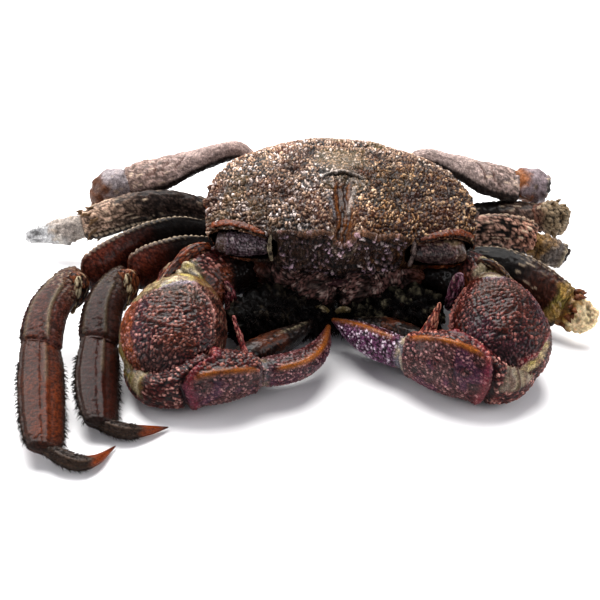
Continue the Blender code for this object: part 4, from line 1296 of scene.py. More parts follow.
# %% [markdown]
# The palm changes its grain three times. Its heel is pearly like the wrist. Past a deep, curved fold, painted
# dark as the shade in it, it is fine and violet-grey outside, coarse and red on top, and along its edge runs
# a smooth strip of amber. Thin skin shows where the heel leaves the wrist, and a cuff where the finger
# begins.

# %% The palm
OUTSIDE_RED, OUTSIDE_PEARL = pigment(108, 56, 56), pigment(204, 150, 146)
TOP_RED, TOP_PEARL = pigment(116, 28, 24), pigment(224, 140, 120)
HEEL_SKIN, HEM_BROWN, FOLD_RED = pigment(200, 180, 150), pigment(70, 30, 22), pigment(160, 48, 62)
FOLD_ANGLES = [-60, -15, 5, 22, 38]
FOLD_T = {-1: [0.50, 0.485, 0.51, 0.55, 0.66], 1: [0.43, 0.455, 0.48, 0.54, 0.66]}


def loosen_heel(f, side, relief, tint, slow):
    inward = f.angle * side
    skin = soft_skin(f.p, 143)
    if side < 0:
        loose = (1 - rise(f.t + 0.01 * slow, 0.29, 0.32)) * between(inward, -60, 40, 10)
        hem = bump(f.t, 0.335, 0.012) * between(inward, -50, 20, 10)
    else:
        loose = (1 - rise(f.t + 0.02 * slow, 0.36, 0.40)) * between(inward, -60, 12, 8)
        hem = bump(f.t, 0.30, 0.01) * between(inward, -60, 10, 8)
        skin = wash(HEEL_SKIN, skin, 0.4)
    folds = np.sin(f.t * 110 + 3 * slow)
    relief = relief * (1 - 0.8 * loose) + 0.14 * loose * folds
    tint = wash(tint, wash(skin * 0.7, RIM_DARK, 0.6 * rise(folds, 0.0, 0.9)), 0.9 * loose)
    cuff = wash(SKIN_BLUE, SKIN_CREAM, 0.3 + 0.7 * drift(f.p, 1.2, 149))
    tint = wash(wash(tint, HEM_BROWN, 0.85 * hem), cuff,
                (0.2 if side < 0 else 0.75) * rise(f.t, 0.935, 0.955))
    return relief + 0.25 * ring(f, 0.925, 0.3), tint


def dress_palm(f, side):
    inward = f.angle * side
    slow = drift(f.p, 2.6, 139)
    outside = rise(-inward, 2, 12)
    fine, tint, pillow = pearly(f.p * (0.8, 1, 1), 0.44, 131 + side, skin=OUTSIDE_RED, pearl=OUTSIDE_PEARL)
    coarse, coarse_tint, _ = pearly(f.p, 0.66, 137 + side, skin=TOP_RED, pearl=TOP_PEARL)
    heel_pearls, heel_tint, _ = pearly(f.p, 0.58, 141 + side)
    fold_at = np.interp(inward, FOLD_ANGLES, FOLD_T[side])
    heel = 1 - rise(f.t, fold_at - 0.015, fold_at)
    relief = (0.24 * fine * outside + 0.34 * coarse * (1 - outside)) * (1 - heel) + 0.30 * heel_pearls * heel
    tint = wash(tint, CLAW_VIOLET, 0.40 * rise(slow, -0.1, 0.5))
    tint = wash(tint, CLAW_GREY, 0.30 * rise(-slow, 0.0, 0.5))
    tint = wash(wash(coarse_tint * 0.6, tint, outside), heel_tint, heel)
    crest = line(f, 0, 0.46) * between(f.t, fold_at + 0.07, 0.90, 0.03)
    relief = relief * (1 - crest) + 0.28 * crest
    tint = wash(tint, wash(AMBER_DARK, AMBER, 0.4 + 0.6 * drift(f.p, 0.9, 141)), 0.95 * crest)
    past = (f.t - fold_at) * f.length
    relief += -0.70 * bump(past, 0, 0.32) + 0.42 * bump(past, 1.0, 0.75)
    # Painted shade in the deep fold.
    tint = wash(tint, PITCH, 0.85 * bump(past, -0.05, 0.38))
    tint = wash(tint, FOLD_RED, 0.45 * bump(past, 1.0, 0.6))
    relief, tint = loosen_heel(f, side, relief, tint, slow)
    return relief, tint * (1.1 if side < 0 else 1.35), 0.36 + 0.10 * (1 - pillow) + 0.04 * slow


# %% [markdown]
# The moving finger carries the amber strip on, between violet pearls outside and dark red beads inside, and
# its point is smooth. Its side towards the crab's middle is painted darker, as shade. The finger that is
# fixed to the palm lies in the shade, and is painted nearly black for it.

# %% The two fingers
FINGER_SKINS = {-1: pigment(120, 58, 66), 1: pigment(170, 96, 148)}
FINGER_PEARLS = {-1: pigment(210, 156, 156), 1: pigment(255, 236, 250) * 1.5}
FINGER_PIT, FINGER_RED, FINGER_POINT = pigment(40, 14, 34), pigment(116, 34, 26), pigment(84, 50, 60)
THUMB_BROWN, THUMB_PEARL = pigment(84, 54, 44), pigment(160, 130, 116)


def dress_finger(f, side):
    inward = f.angle * side
    pearls, tint, pillow = pearly(f.p, 0.48, 151 + side, pit=FINGER_PIT, skin=FINGER_SKINS[side],
                                  pearl=FINGER_PEARLS[side], shine=1.0)
    slow = drift(f.p, 1.8, 153)
    smooth = rise(f.t, 0.72, 0.9)
    band = line(f, -side * np.interp(f.t, [0, 0.5, 1], [4, -2, 0]), 0.50) * rise(f.t, 0.12, 0.2)
    relief = 0.24 * pearls * (1 - smooth) * (1 - band) + 0.18 * band
    relief += 0.22 * beads(f, side * 24, 0.4, 0.9) * (1 - smooth)
    red = wash(FINGER_RED, PITCH, 1 - rise(pillow, 0.2, 0.6))
    tint = wash(tint, red, 0.75 * rise(inward, 8, 22) * (1 - rise(pillow, 0.8, 1)))
    # Painted shade on the side towards the crab's middle.
    tint = tint * (1 - 0.45 * rise(inward, 10, 26))[:, None]
    tint = wash(tint, CLAW_VIOLET, 0.5 * rise(slow, -0.2, 0.4) * rise(-inward, 30, 60) * pillow)
    tint = wash(tint, FINGER_POINT, 0.6 * smooth)
    tint = wash(tint, wash(AMBER_DARK, AMBER, 0.85 - 0.4 * rise(f.t, 0.5, 0.9)), 0.97 * band)
    tint = wash(tint, AMBER_DARK, 0.5 * line(f, side * 12, 0.4) * rise(f.t, 0.3, 0.5))
    root = 1 - rise(f.t, 0.07, 0.13)
    skin = wash(SKIN_BLUE, SKIN_CREAM, rise(drift(f.p, 1.4, 157), -0.1, 0.4))
    tint = wash(tint, skin, (0.25 if side < 0 else 0.8) * root)
    relief = relief * (1 - root) + root * 0.10 * np.sin(f.t * 120)
    return relief, tint, 0.32 + 0.10 * (1 - pillow)


def dress_thumb(f, side):
    pearls, tint, pillow = pearly(f.p, 0.6, 161, skin=THUMB_BROWN, pearl=THUMB_PEARL)
    slow = drift(f.p, 2.0, 163)
    # Painted shade: the fixed finger is nearly black.
    tint = wash(tint, PITCH, 0.85)
    tint = wash(tint, AMBER_DARK, 0.8 * between(f.t, 0.22, 0.48, 0.06) * rise(slow + pillow, 0.2, 0.8))
    pale = line(f, side * 30, 0.3) * between(f.t, 0.45, 0.85, 0.06) * rise(pillow, 0.3, 0.8)
    return 0.20 * pearls + 0.12 * slow, wash(tint, SKIN_CREAM, 0.35 * pale), 0.36 + 0.05 * slow


# %% [markdown]
# A claw is five limbs. The wrist and the palm get a fine grid, because their pearls are the first thing
# seen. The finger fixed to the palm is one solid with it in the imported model, so here only the palm stands
# for that solid, and the fixed finger rides along.

# %% Make both claws
for word, form in CLAWS.items():
    side, high = form["side"], form["palm_height"]
    arm = dict(path=form["arm"], height=form["arm_height"], depth=form["arm_depth"], corner=1.8,
               crest=(-0.4 * side, 0.3, 1), blunt=(3.5, 4.5))
    limb(f"crab_arm_{word}", arm, dress_arm, "claw", [f"claw_arm_{word}"], side=side, fine=0.27)
    wrist = dict(path=form["wrist"], height=form["wrist_height"], depth=form["wrist_breadth"],
                 crest=(0, 0, 1), corner=2.1, blunt=(2.2, 2.8))
    limb(f"crab_wrist_{word}", wrist, dress_wrist, "claw", [f"claw_wrist_{word}"], side=side, fine=0.20)
    palm = dict(path=form["palm"], height=high, crest=form["palm_crest"], ridges=[(0, 0.07, 14)],
                depth=[high[0] * 0.9, high[1] * 0.86, high[2] * 0.82, high[3] * 0.78], blunt=(2.8, 5.0))
    limb(f"crab_palm_{word}", palm, dress_palm, "claw", [f"claw_palm_{word}"], side=side, fine=0.18)
    thumb = dict(path=form["fixed"], height=[6.4, 6.2, 4.6, 2.0], depth=[4.8, 4.4, 3.4, 1.8],
                 crest=form["palm_crest"], blunt=(3.0, 2.0))
    limb(f"crab_thumb_{word}", thumb, dress_thumb, "claw", side=side, fine=0.26)
    finger = dict(path=form["finger"], height=[6.0, 5.8, 3.9, 1.5], depth=[4.6, 4.4, 3.2, 1.4],
                  crest=form["palm_crest"], corner=1.9, ridges=[(0, 0.08, 16)], blunt=(5.0, 2.2))
    limb(f"crab_finger_{word}", finger, dress_finger, "claw", [f"claw_finger_{word}"], side=side, fine=0.17)
print("claws:", sum(piece_sizes.values()), "triangles so far")

# %% [markdown]
# Where the arms meet the shell, each has a rolled rim that the wrist folds against: orange-brown on the left
# and tan on the right. Between the claws and the mouth lies matted hair, nearly black, which also stands for
# the deep shade in the pocket there. Single hairs would take millions of triangles, so it is a lumpy, tufted
# skin, and nine hundred bristles stand on it. Its paler patches higher up are painted light.

# %% Rims of the arms, and the fringe between mouth and claws
RIMS = {  # path, thickness, bright, dark
    "left": ([(-20.2, -15.4, 13.6), (-22.9, -17.0, 13.2), (-25.4, -19.7, 12.3), (-27.7, -23.4, 11.4),
              (-29.5, -27.0, 10.8), (-30.6, -30.2, 9.8)],
             [2.4, 3.6, 2.8, 2.0, 1.6, 1.2], pigment(158, 76, 42), RIM_DARK),
    "right": ([(20.6, -15.6, 11.8), (22.6, -15.5, 12.6), (24.8, -16.8, 12.6), (27.1, -19.8, 11.4),
               (29.0, -22.8, 10.5), (30.2, -25.6, 9.4)],
              [1.9, 2.2, 1.5, 1.1, 0.9, 0.7], pigment(150, 116, 80), pigment(84, 48, 36)),
}
FRINGES_IN_SHADE = {  # path, pale
    "left": ([(0.4, -17.2, 2.1), (-5.4, -18.6, 3.7), (-11.2, -20.2, 4.6), (-16.0, -24.6, 4.3)],
             pigment(60, 52, 40)),
    "right": ([(-0.4, -17.0, 2.1), (5.2, -17.8, 3.7), (11.0, -18.8, 4.9), (16.2, -20.0, 5.0)],
              pigment(128, 120, 96)),
}
FRINGE_BROWN = pigment(70, 46, 36)


def dress_rim(f, bright, dark):
    streaks, own = along_grains(f, 1.5, 0.34, 171)
    slow = drift(f.p, 1.6, 173)
    relief = 0.16 * (streaks - 0.45) + 0.10 * slow + 0.12 * beads(f, 0, 0.3, 0.8)
    tint = wash(wash(PITCH, dark, rise(streaks, 0.1, 0.5)), bright, rise(streaks + 0.4 * slow, 0.45, 0.9))
    # Painted glints: cream flecks on the highest streaks.
    tint = wash(tint, SKIN_CREAM, 0.6 * rise(own, 0.75, 0.9) * rise(streaks, 0.6, 1))
    return relief, tint, 0.36 - 0.08 * streaks


def dress_fringe_and_shade(f, pale):
    tufts, own = along_grains(f, 0.34, 1.9, 181)
    lumps, _ = grains(stirred(f.p, 1.5, 0.7, 183), 2.1, 185)
    slow = drift(f.p, 2.0, 187)
    relief = 0.40 * (tufts - 0.4) + 1.10 * (lumps - 0.6) + 0.50 * slow
    # Nearly black: the hair's own dark and the painted shade of the pocket.
    tint = wash(PITCH * 0.4, FRINGE_BROWN,
                0.6 * rise(tufts, 0.6, 1) * rise(own, 0.5, 1) * rise(lumps, 0.5, 0.9))
    # Painted light: paler patches on the upper part.
    bare = rise(slow + 0.3 * lumps, 0.25, 0.6) * rise(f.p[:, 2], 4.0, 6.5) * rise(tufts, 0.3, 0.7)
    return relief, wash(tint, pale, bare), 0.86 - 0.1 * tufts


for word, _ in SIDES:
    path, thick, bright, dark = RIMS[word]
    limb(f"crab_arm_rim_{word}", dict(path=path, height=thick, depth=[t * 0.7 for t in thick],
                                      crest=(0, -0.3, 1)),
         dress_rim, "claw", fine=0.20, bright=bright, dark=dark)
    path, pale = FRINGES_IN_SHADE[word]
    limb(f"crab_fringe_{word}", dict(path=path, height=[2.8, 6.0, 8.2, 7.4], depth=[4.4, 6.0, 7.4, 6.4],
                                     crest=(0, 0, 1), corner=2.8),
         dress_fringe_and_shade, "underside", fine=0.34, pale=pale)
print("a fringe:", piece_sizes["crab_fringe_left"], "triangles")

# %% [markdown]
# On the inner side of each claw a pink lobe stands at the wrist and a spine on the palm. Their feet are
# sunk in the claw, so that they grow out of it.

# %% Lobes and spines on the inner side of the claws
SPINES = {  # path, thickness, bright, dark
    "lobe_left": ([(-17.6, -19.6, 10.2), (-16.6, -20.2, 7.0), (-17.3, -20.6, 4.4)], [1.2, 1.8, 0.8],
                  pigment(230, 150, 150), pigment(140, 50, 60)),
    "spine_left": ([(-13.6, -34.4, 5.4), (-15.1, -32.2, 8.6), (-16.3, -30.2, 11.3)], [1.1, 0.8, 0.3],
                   pigment(240, 146, 136), pigment(150, 48, 50)),
    "lobe_right": ([(17.3, -18.2, 5.6), (18.0, -18.5, 9.0), (18.4, -18.2, 12.4)], [1.4, 2.2, 1.7],
                   pigment(240, 190, 206), pigment(156, 76, 104)),
    "spine_right": ([(12.0, -30.0, 6.2), (13.6, -28.0, 9.4), (14.8, -26.4, 12.4)], [3.0, 1.8, 0.4],
                    pigment(246, 160, 130), pigment(160, 56, 46)),
}
for name, (path, thick, bright, dark) in SPINES.items():
    limb(f"crab_{name}", dict(path=path, height=thick, depth=[t * 0.8 for t in thick], crest=(1, 0, 0)),
         dress_rim, "claw", fine=0.13, bright=bright, dark=dark)
print("lobes and spines:", ", ".join(SPINES))

# %% [markdown]
# ## Walking legs
# The two whole legs on the left are folded at the knee and stand on their points. Their plates are flat,
# with a row of pale beads along the upper edge, fine lines down the faces and an orange point. The other six
# have snapped off past the knee, as legs do in a tub of salted crabs, and each break shows something else.

# %% The legs' measures
WHOLE_LEGS = {
    "left_1": dict(
        thigh=[(-15.0, -6.6, 5.4), (-24.2, -9.8, 7.6), (-32.4, -15.6, 8.3)],
        thigh_crest=(-0.1, 0.3, 1), thigh_height=[6.4, 6.8, 6.4],
        knee=[(-33.2, -15.2, 8.6), (-35.9, -23.2, 6.9), (-36.3, -30.0, 4.6)], knee_height=[4.4, 5.9, 6.4],
        shin=[(-36.2, -29.2, 4.9), (-36.0, -38.4, 3.4), (-35.0, -46.2, 2.4)], shin_height=[6.0, 6.6, 5.6],
        shin_crest=(-1, 0.1, 0.4),
        toe=[(-36.0, -45.2, 2.4), (-31.6, -46.2, 1.5), (-28.2, -45.4, 1.1), (-25.1, -43.7, 0.5)],
        toe_height=[2.6, 2.9, 1.9, 0.6], toe_crest=(-0.1, -1, 0.3)),
    "left_2": dict(
        thigh=[(-15.6, -1.8, 5.2), (-27.6, -6.6, 8.5), (-39.4, -16.6, 8.2)],
        thigh_crest=(-0.1, 0.3, 1), thigh_height=[6.8, 7.2, 6.6],
        knee=[(-40.3, -15.6, 8.4), (-44.2, -24.4, 6.9), (-44.9, -31.6, 4.7)], knee_height=[4.8, 6.0, 6.8],
        shin=[(-44.8, -30.8, 5.0), (-43.8, -42.2, 3.6), (-42.5, -52.6, 2.5)], shin_height=[6.6, 7.0, 6.2],
        shin_crest=(-1, 0.1, 0.4),
        toe=[(-43.2, -51.2, 2.5), (-38.2, -53.5, 1.5), (-35.1, -52.4, 1.1), (-32.5, -48.4, 0.5)],
        toe_height=[3.0, 3.3, 2.2, 0.6], toe_crest=(-0.3, -1, 0.3)),
}
BROKEN_LEGS = {
    "left_3": dict(
        thigh=[(-15.2, 5.4, 5.2), (-28.6, 4.2, 8.2), (-41.2, 0.3, 6.2)],
        thigh_crest=(0, 0.4, 1), thigh_height=[5.0, 5.8, 5.4],
        stump=[(-39.4, 0.9, 6.3), (-45.6, 1.1, 4.3), (-50.9, 1.4, 3.1)],
        stump_crest=(0, 0.4, 1), stump_height=[3.8, 4.4, 2.8], stump_depth=[2.8, 3.4, 2.4]),
    "left_4": dict(
        thigh=[(-12.2, 12.8, 6.2), (-15.8, 13.6, 13.6), (-21.8, 12.1, 13.0), (-28.0, 10.3, 11.1),
               (-34.6, 8.5, 9.8)],
        thigh_crest=(-0.15, 0.85, 0.45), thigh_height=[3.4, 3.4, 4.6, 6.2, 6.4],
        stump=[(-34.0, 8.8, 10.3), (-36.8, 8.2, 8.4), (-37.6, 8.0, 4.6)],
        stump_crest=[(-0.68, 0, 0.73), (-0.9, 0, 0.45), (-1, 0, 0.2)],
        stump_height=[5.4, 6.8, 6.4], stump_depth=[4.6, 5.0, 4.2]),
    "right_1": dict(
        thigh=[(15.0, -6.2, 5.4), (26.4, -9.2, 7.0), (36.2, -15.8, 4.8)],
        thigh_crest=(0.3, 0.5, 1), thigh_height=[6.6, 7.8, 7.8], thigh_depth=4.4,
        stump=[(34.6, -14.9, 5.0), (38.4, -16.6, 4.2), (41.0, -18.0, 3.4)],
        stump_crest=(0.3, 0.5, 1), stump_height=[5.6, 6.2, 4.4], stump_depth=[3.0, 3.2, 2.6]),
    "right_2": dict(
        thigh=[(15.6, -0.8, 5.2), (24.6, -0.7, 8.6), (32.7, -0.2, 7.6)],
        thigh_crest=(0, 0.3, 1), thigh_height=[5.8, 6.4, 5.6],
        stump=[(31.0, -0.3, 7.6), (35.4, -0.9, 5.9), (38.6, -1.0, 4.5)],
        stump_crest=(0, 0.4, 1), stump_height=[3.8, 4.6, 3.8], stump_depth=[2.8, 3.2, 2.4]),
    "right_3": dict(
        thigh=[(15.2, 5.4, 5.0), (25.4, 8.8, 5.4), (35.0, 8.7, 6.2)],
        thigh_crest=(0, 0.6, 0.8), thigh_height=[5.0, 5.6, 5.0],
        stump=[(33.4, 8.8, 6.2), (36.8, 8.1, 6.6), (39.9, 7.8, 6.2)],
        stump_crest=(0, 0.4, 1), stump_height=[4.0, 5.6, 4.2], stump_depth=[3.4, 4.4, 3.4]),
    "right_4": dict(
        thigh=[(12.2, 12.8, 6.2), (14.4, 13.9, 13.5), (20.2, 13.3, 12.8), (25.6, 12.8, 11.0),
               (31.4, 12.3, 9.8)],
        thigh_crest=(0.1, 0.85, 0.45), thigh_height=[3.4, 3.4, 4.8, 6.6, 6.6],
        stump=[(29.6, 12.8, 10.0), (33.4, 13.5, 9.4), (36.6, 13.6, 8.7)],
        stump_crest=(0, 0.7, 0.7), stump_height=[4.6, 6.0, 5.2], stump_depth=[4.2, 5.4, 4.8]),
}
print(len(WHOLE_LEGS), "whole legs and", len(BROKEN_LEGS), "broken ones")

# %% [markdown]
# A thigh is a blade that stands on edge, laid with fine scales: glossy and streaked on the two rear legs,
# dull, with scuffs, on the others. Its lower edge is painted dark as shade, from an angle given for each leg,
# and on the glossy legs the hidden face is painted darker too. The lilac on the scales' tops and the pale
# flecks on the scuffs are painted glints, and the scuffs' hollows painted shade. `turned` counts degrees
# round the blade from its upper edge, so 90 is the face that shows and 180 the lower edge.

# %% The thighs
PLAIN_THIGH = dict(beaded=1.0, gloss=0.0, scuffed=0.0, hemmed=0.0, tipped=0.0, dark_from=140)


def lay_thigh(f, s):
    """The form: scales, a double row of beads on the upper edge, scuffs, cuts and a rolled end."""
    s.scale, s.own = along_grains(f, 0.45, 0.8, 201 + s.side)
    s.scuff, s.scuff_own = along_grains(f, 1.9, 0.42, 207 + s.side)
    s.slow, s.turned = drift(f.p, 3.0, 203), (f.angle * s.side) % 360
    second = rise(f.t, 0.4, 0.5)
    s.upper = line(f, 0, 0.28) + 0.8 * line(f, 14 * s.side, 0.24) * second
    s.bead = beads(f, 0, 0.32, 0.85) + 0.7 * beads(f, 14 * s.side, 0.28, 0.95) * second
    cuts = rise(np.sin(f.mm * 2.1 - np.radians(s.turned) * 4.0 + 3.5 * s.slow), 0.80, 1.0)
    s.cuts = cuts * between(f.t, 0.60, 0.88, 0.06) * between(s.turned, 50, 120, 12)
    s.hem = beads(f, 136 * s.side, 0.26, 0.95) * between(f.t, 0.3, 0.96, 0.06) * s.hemmed
    s.relief = (0.12 + 0.08 * s.gloss) * (s.scale - 0.45) + (0.12 + 0.14 * s.gloss) * s.slow
    s.relief += 0.36 * s.bead * s.beaded * rise(f.t, 0.25, 0.35)
    s.relief += 0.24 * s.scuffed * (s.scuff - 0.4)
    streaks = s.gloss * (0.14 * line(f, 64 * s.side, 0.4) - 0.20 * s.cuts)
    s.relief += streaks + 0.14 * ring(f, 0.955, 0.32) - 0.2 * ring(f, 0.925, 0.22)
    s.relief += 0.30 * s.hem


def paint_thigh(f, s):
    tint = wash(s.near, s.far, rise(f.t + 0.06 * s.slow, 0.56, 0.88))
    tip = wash(SKIN_OLIVE, FLESH_OCHRE, rise(s.slow, -0.3, 0.3))
    tint = wash(tint, tip, s.tipped * rise(f.t + 0.04 * s.slow, 0.84, 0.90))
    # The grooves between the scales are dark, partly as painted shade.
    tint = wash(tint, tint * 0.12, (0.8 - 0.4 * s.gloss) * (1 - rise(s.scale, 0.15, 0.6)))
    # Painted glints: lilac on the scales' tops.
    lilac = (0.10 + 0.5 * s.gloss) * rise(s.scale, 0.6, 0.95) * rise(s.own, 0.4, 0.9)
    tint = wash(tint, LILAC_GLINT, lilac * rise(f.t, 0.4, 0.8 - 0.3 * s.gloss))
    s.worn = s.scuffed + s.gloss * (0.2 + 0.5 * rise(f.t + 0.1 * s.slow, 0.55, 0.8))
    # Painted shade in the scuffs' hollows, and painted glints as pale flecks on their highs.
    tint = wash(tint, PITCH, s.worn * (1 - rise(s.scuff, 0.25, 0.6)))
    bare = s.worn * (0.2 + 0.8 * rise(f.t, 0.4, 0.65)) * rise(s.scuff, 0.72, 0.96)
    tint = wash(tint, LEG_BEAD * 1.5, bare * rise(s.scuff_own, 0.5, 0.85))
    tint = wash(tint, RIM_DARK, 0.8 * s.gloss * s.cuts)
    # Painted shade on the lower edge, from the angle set for each leg.
    tint = wash(tint, PITCH, 0.93 * between(s.turned, s.dark_from, 260, 8))
    # Painted shade on the hidden face of the glossy legs.
    tint = tint * (1 - 0.6 * s.gloss * between(s.turned, 262, 318, 14))[:, None]
    tint = wash(tint, LEG_BEAD * 1.3, rise(s.hem, 0.45, 0.8))
    edge = 0.9 * s.beaded * np.clip(s.upper, 0, 1) * between(f.t, 0.32, 0.96, 0.06)
    return wash(tint, wash(PITCH, LEG_BEAD, rise(s.bead, 0.45, 0.8)), edge)


def dress_thigh(f, **marks):
    s = SimpleNamespace(**{**PLAIN_THIGH, **marks})
    lay_thigh(f, s)
    tint = paint_thigh(f, s)
    dull = 0.20 * (1 - s.gloss) * (1 - rise(f.t, 0.4, 0.7))
    return s.relief, tint, 0.44 - 0.18 * s.gloss - 0.10 * s.worn * s.scuff + dull


# %% [markdown]
# Knees and shins are flat as well, with beads on the outer edge. A cream ridge runs down the knee and fine
# seams down the shin, whose edges are dark where hair grows. The toe is dark and bristly at its root, then
# bare, and its grooves run out into an orange point.

# %% The knees, shins and toes
KNEE_BROWN, KNEE_RED = pigment(108, 52, 34), pigment(112, 58, 46)
SHIN_BROWN, SHIN_ORANGE, SHIN_DARK = pigment(104, 50, 30), pigment(128, 58, 26), pigment(52, 16, 9)
EDGE_DARK, EDGE_BEAD, SHIN_END = pigment(44, 34, 30), pigment(92, 76, 66), pigment(46, 36, 32)
TOE_DARK, TOE_GREY = pigment(48, 36, 30), pigment(96, 74, 58)
POINT_ORANGE, POINT_BROWN = pigment(138, 58, 16), pigment(78, 26, 10)


def dress_knee(f, dark):
    scale, own = along_grains(f, 0.5, 0.5, 211)
    slow = drift(f.p, 2.6, 213)
    ridge_at = np.interp(f.t, [0.25, 0.85], [-78, -98])
    ridge = line(f, ridge_at, 0.22) * between(f.t, 0.3, 0.86, 0.05)
    outer = beads(f, -28, 0.3, 0.7) * between(f.t, 0.2, 0.9, 0.05)
    knob = 1 - rise(f.t, 0.28, 0.42)
    relief = 0.13 * (scale - 0.4) + 0.08 * slow + 0.22 * ridge + 0.2 * outer + 0.24 * beads(f, 2, 0.3, 0.7)
    relief -= 0.12 * line(f, ridge_at - 9, 0.3)
    knobs = 0.2 * knob * (grains(f.p, 1.0, 217)[0] - 0.4)
    relief += knobs + 0.2 * ring(f, 0.955, 0.25) - 0.2 * ring(f, 0.925, 0.2)
    brown = wash(KNEE_BROWN, KNEE_RED, rise(slow, -0.2, 0.4))
    tint = wash(brown, PITCH, 0.8 * (1 - rise(scale, 0.15, 0.6)))
    # Painted glints: lilac on the scales' tops.
    tint = wash(tint, LILAC_GLINT, 0.30 * rise(scale, 0.6, 0.95) * rise(own, 0.5, 0.9))
    tint = wash(tint, PITCH, 0.55 * line(f, -16, 0.5))
    tint = wash(tint, SKIN_CREAM, 0.40 * ridge + 0.25 * outer + 0.35 * knob * rise(scale, 0.5, 0.95))
    return relief, wash(tint, PITCH, dark), 0.42 - 0.06 * scale


def dress_shin(f, dark):
    scale, _ = along_grains(f, 0.62, 0.42, 221)
    slow = drift(f.p, 3.4, 223)
    seams = line(f, -104, 0.16) + 0.7 * line(f, -82, 0.14)
    outer = beads(f, -8, 0.34, 0.75) + 0.8 * beads(f, -34, 0.26, 0.8)
    relief = 0.12 * (scale - 0.4) + 0.08 * slow - 0.14 * seams + 0.26 * outer + 0.2 * beads(f, -170, 0.4,
                                                                                            1.2)
    relief += 0.14 * line(f, -93, 0.35) + 0.22 * ring(f, 0.95, 0.3) + 0.12 * ring(f, 0.06, 0.3)
    face = wash(SHIN_BROWN, SHIN_ORANGE, rise(slow + 0.4 * line(f, -112, 1.2), -0.1, 0.6))
    tint = wash(wash(face, SHIN_DARK, dark), PITCH, 0.75 * (1 - rise(scale, 0.10, 0.55)))
    tint = wash(tint, SKIN_CREAM, 0.12 * line(f, -93, 0.2) * between(f.t, 0.05, 0.4, 0.06))
    tint = wash(tint, EDGE_DARK, 0.75 * np.clip(line(f, -14, 0.9) + line(f, -158, 0.8), 0, 1))
    tint = wash(tint, EDGE_BEAD, 0.35 * np.clip(outer, 0, 1))
    return relief, wash(tint, SHIN_END, 0.6 * rise(f.t, 0.84, 0.97)), 0.44 - 0.05 * scale


def dress_toe(f):
    scale, _ = along_grains(f, 0.8, 0.3, 231)
    point = rise(f.t + 0.04 * np.cos(np.radians(f.angle) * 3), 0.50, 0.66)
    lines = np.cos(np.radians(f.angle) * 7) * (1 - rise(f.t, 0.75, 0.95))
    relief = 0.09 * (scale - 0.4) * (1 - point) + 0.05 * lines
    tint = wash(TOE_DARK, TOE_GREY, 0.5 * rise(lines, 0.2, 0.9) + 0.2 * scale)
    tint = wash(tint, wash(POINT_ORANGE, POINT_BROWN, rise(f.t, 0.75, 1.0)), point)
    return relief, tint, 0.42 - 0.1 * point


# %% [markdown]
# Both whole legs have the same four plates in the same skins. The front one lies in the shade of the
# second, so its knee and shin are darker.

# %% Make the whole legs
THIGH_TAPER, THIGH_DEPTH = 0.7, 3.6
KNEE_SHADE, SHIN_SHADE = {"left_1": 0.70, "left_2": 0.25}, {"left_1": 0.9, "left_2": 0.35}


def make_thigh(word, form, **marks):
    depth, height = form.get("thigh_depth", THIGH_DEPTH), form["thigh_height"]
    blade = dict(path=form["thigh"], height=[min(height) * THIGH_TAPER, *height], crest=form["thigh_crest"],
                 depth=[depth * 0.8, depth, depth, depth * 1.05], corner=1.7, blunt=(4.0, 6.0))
    side = -1 if word.startswith("left") else 1
    limb(f"crab_leg_{word}_thigh", blade, dress_thigh, "leg", [f"leg_{word}_thigh"], side=side, fine=0.25,
         **marks)


for word, form in WHOLE_LEGS.items():
    make_thigh(word, form, near=PITCH, far=pigment(108, 46, 30))
    knee = dict(path=form["knee"], height=form["knee_height"], depth=[2.8, 3.5, 3.5],
                crest=form["shin_crest"], corner=1.9, blunt=(2.6, 6.0))
    limb(f"crab_leg_{word}_knee", knee, dress_knee, "leg", [f"leg_{word}_knee"], fine=0.23,
         dark=KNEE_SHADE[word])
    shin = dict(path=form["shin"], height=form["shin_height"], depth=[2.8, 3.3, 2.9],
                crest=form["shin_crest"], blunt=(5.0, 3.6))
    limb(f"crab_leg_{word}_shin", shin, dress_shin, "leg", [f"leg_{word}_shin"], fine=0.23,
         dark=SHIN_SHADE[word])
    toe = dict(path=form["toe"], height=form["toe_height"], depth=[2.2, 2.3, 1.5, 0.5],
               crest=form["toe_crest"], corner=1.8, blunt=(3.0, 2.2))
    limb(f"crab_leg_{word}_toe", toe, dress_toe, "leg", [f"leg_{word}_toe"], fine=0.18)
print("a whole leg:", sum(size for name, size in piece_sizes.items() if "leg_left_1" in name), "triangles")

# %% [markdown]
# A knee bends on soft skin, with a pale sinew that shows in the gap. Both are short rolls, in the streaked
# skin of the arms' rims.

# %% Soft joints at the knees
JOINTS = {
    "left_1": [(-32.9, -16.9, 9.8), (-32.9, -18.3, 7.4), (-33.4, -19.4, 4.6)],
    "left_2": [(-40.3, -17.9, 9.6), (-40.6, -19.3, 7.2), (-41.2, -20.4, 4.4)],
}
SINEW_FORWARD = (0.2, -1.5, 0.2)  # where the sinew lies, from the joint
for word, path in JOINTS.items():
    limb(f"crab_leg_{word}_joint", dict(path=path, height=[3.0, 4.0, 2.0], depth=[2.2, 2.8, 1.6],
                                        crest=(1, 0, 0)),
         dress_rim, "leg", fine=0.18, bright=pigment(150, 84, 50), dark=pigment(64, 30, 22))
    sinew = dict(path=np.array(path) + SINEW_FORWARD, height=[0.8, 1.3, 0.8], depth=[0.7, 1.0, 0.7],
                 crest=(1, 0, 0))
    limb(f"crab_leg_{word}_sinew", sinew, dress_rim, "leg", fine=0.14, bright=SKIN_CREAM,
         dark=pigment(120, 80, 50))
print("soft joints:", ", ".join(JOINTS))

# %% [markdown]
# A broken leg ends in a stump of its next plate: knobbly shell, a torn edge, and what shows of the inside,
# white flesh, ochre flesh or only darkness. Each leg has its own marks, and one recipe reads them all.
# `break_at` says how far along the stump the shell ends, and `torn` how ragged the inside is.

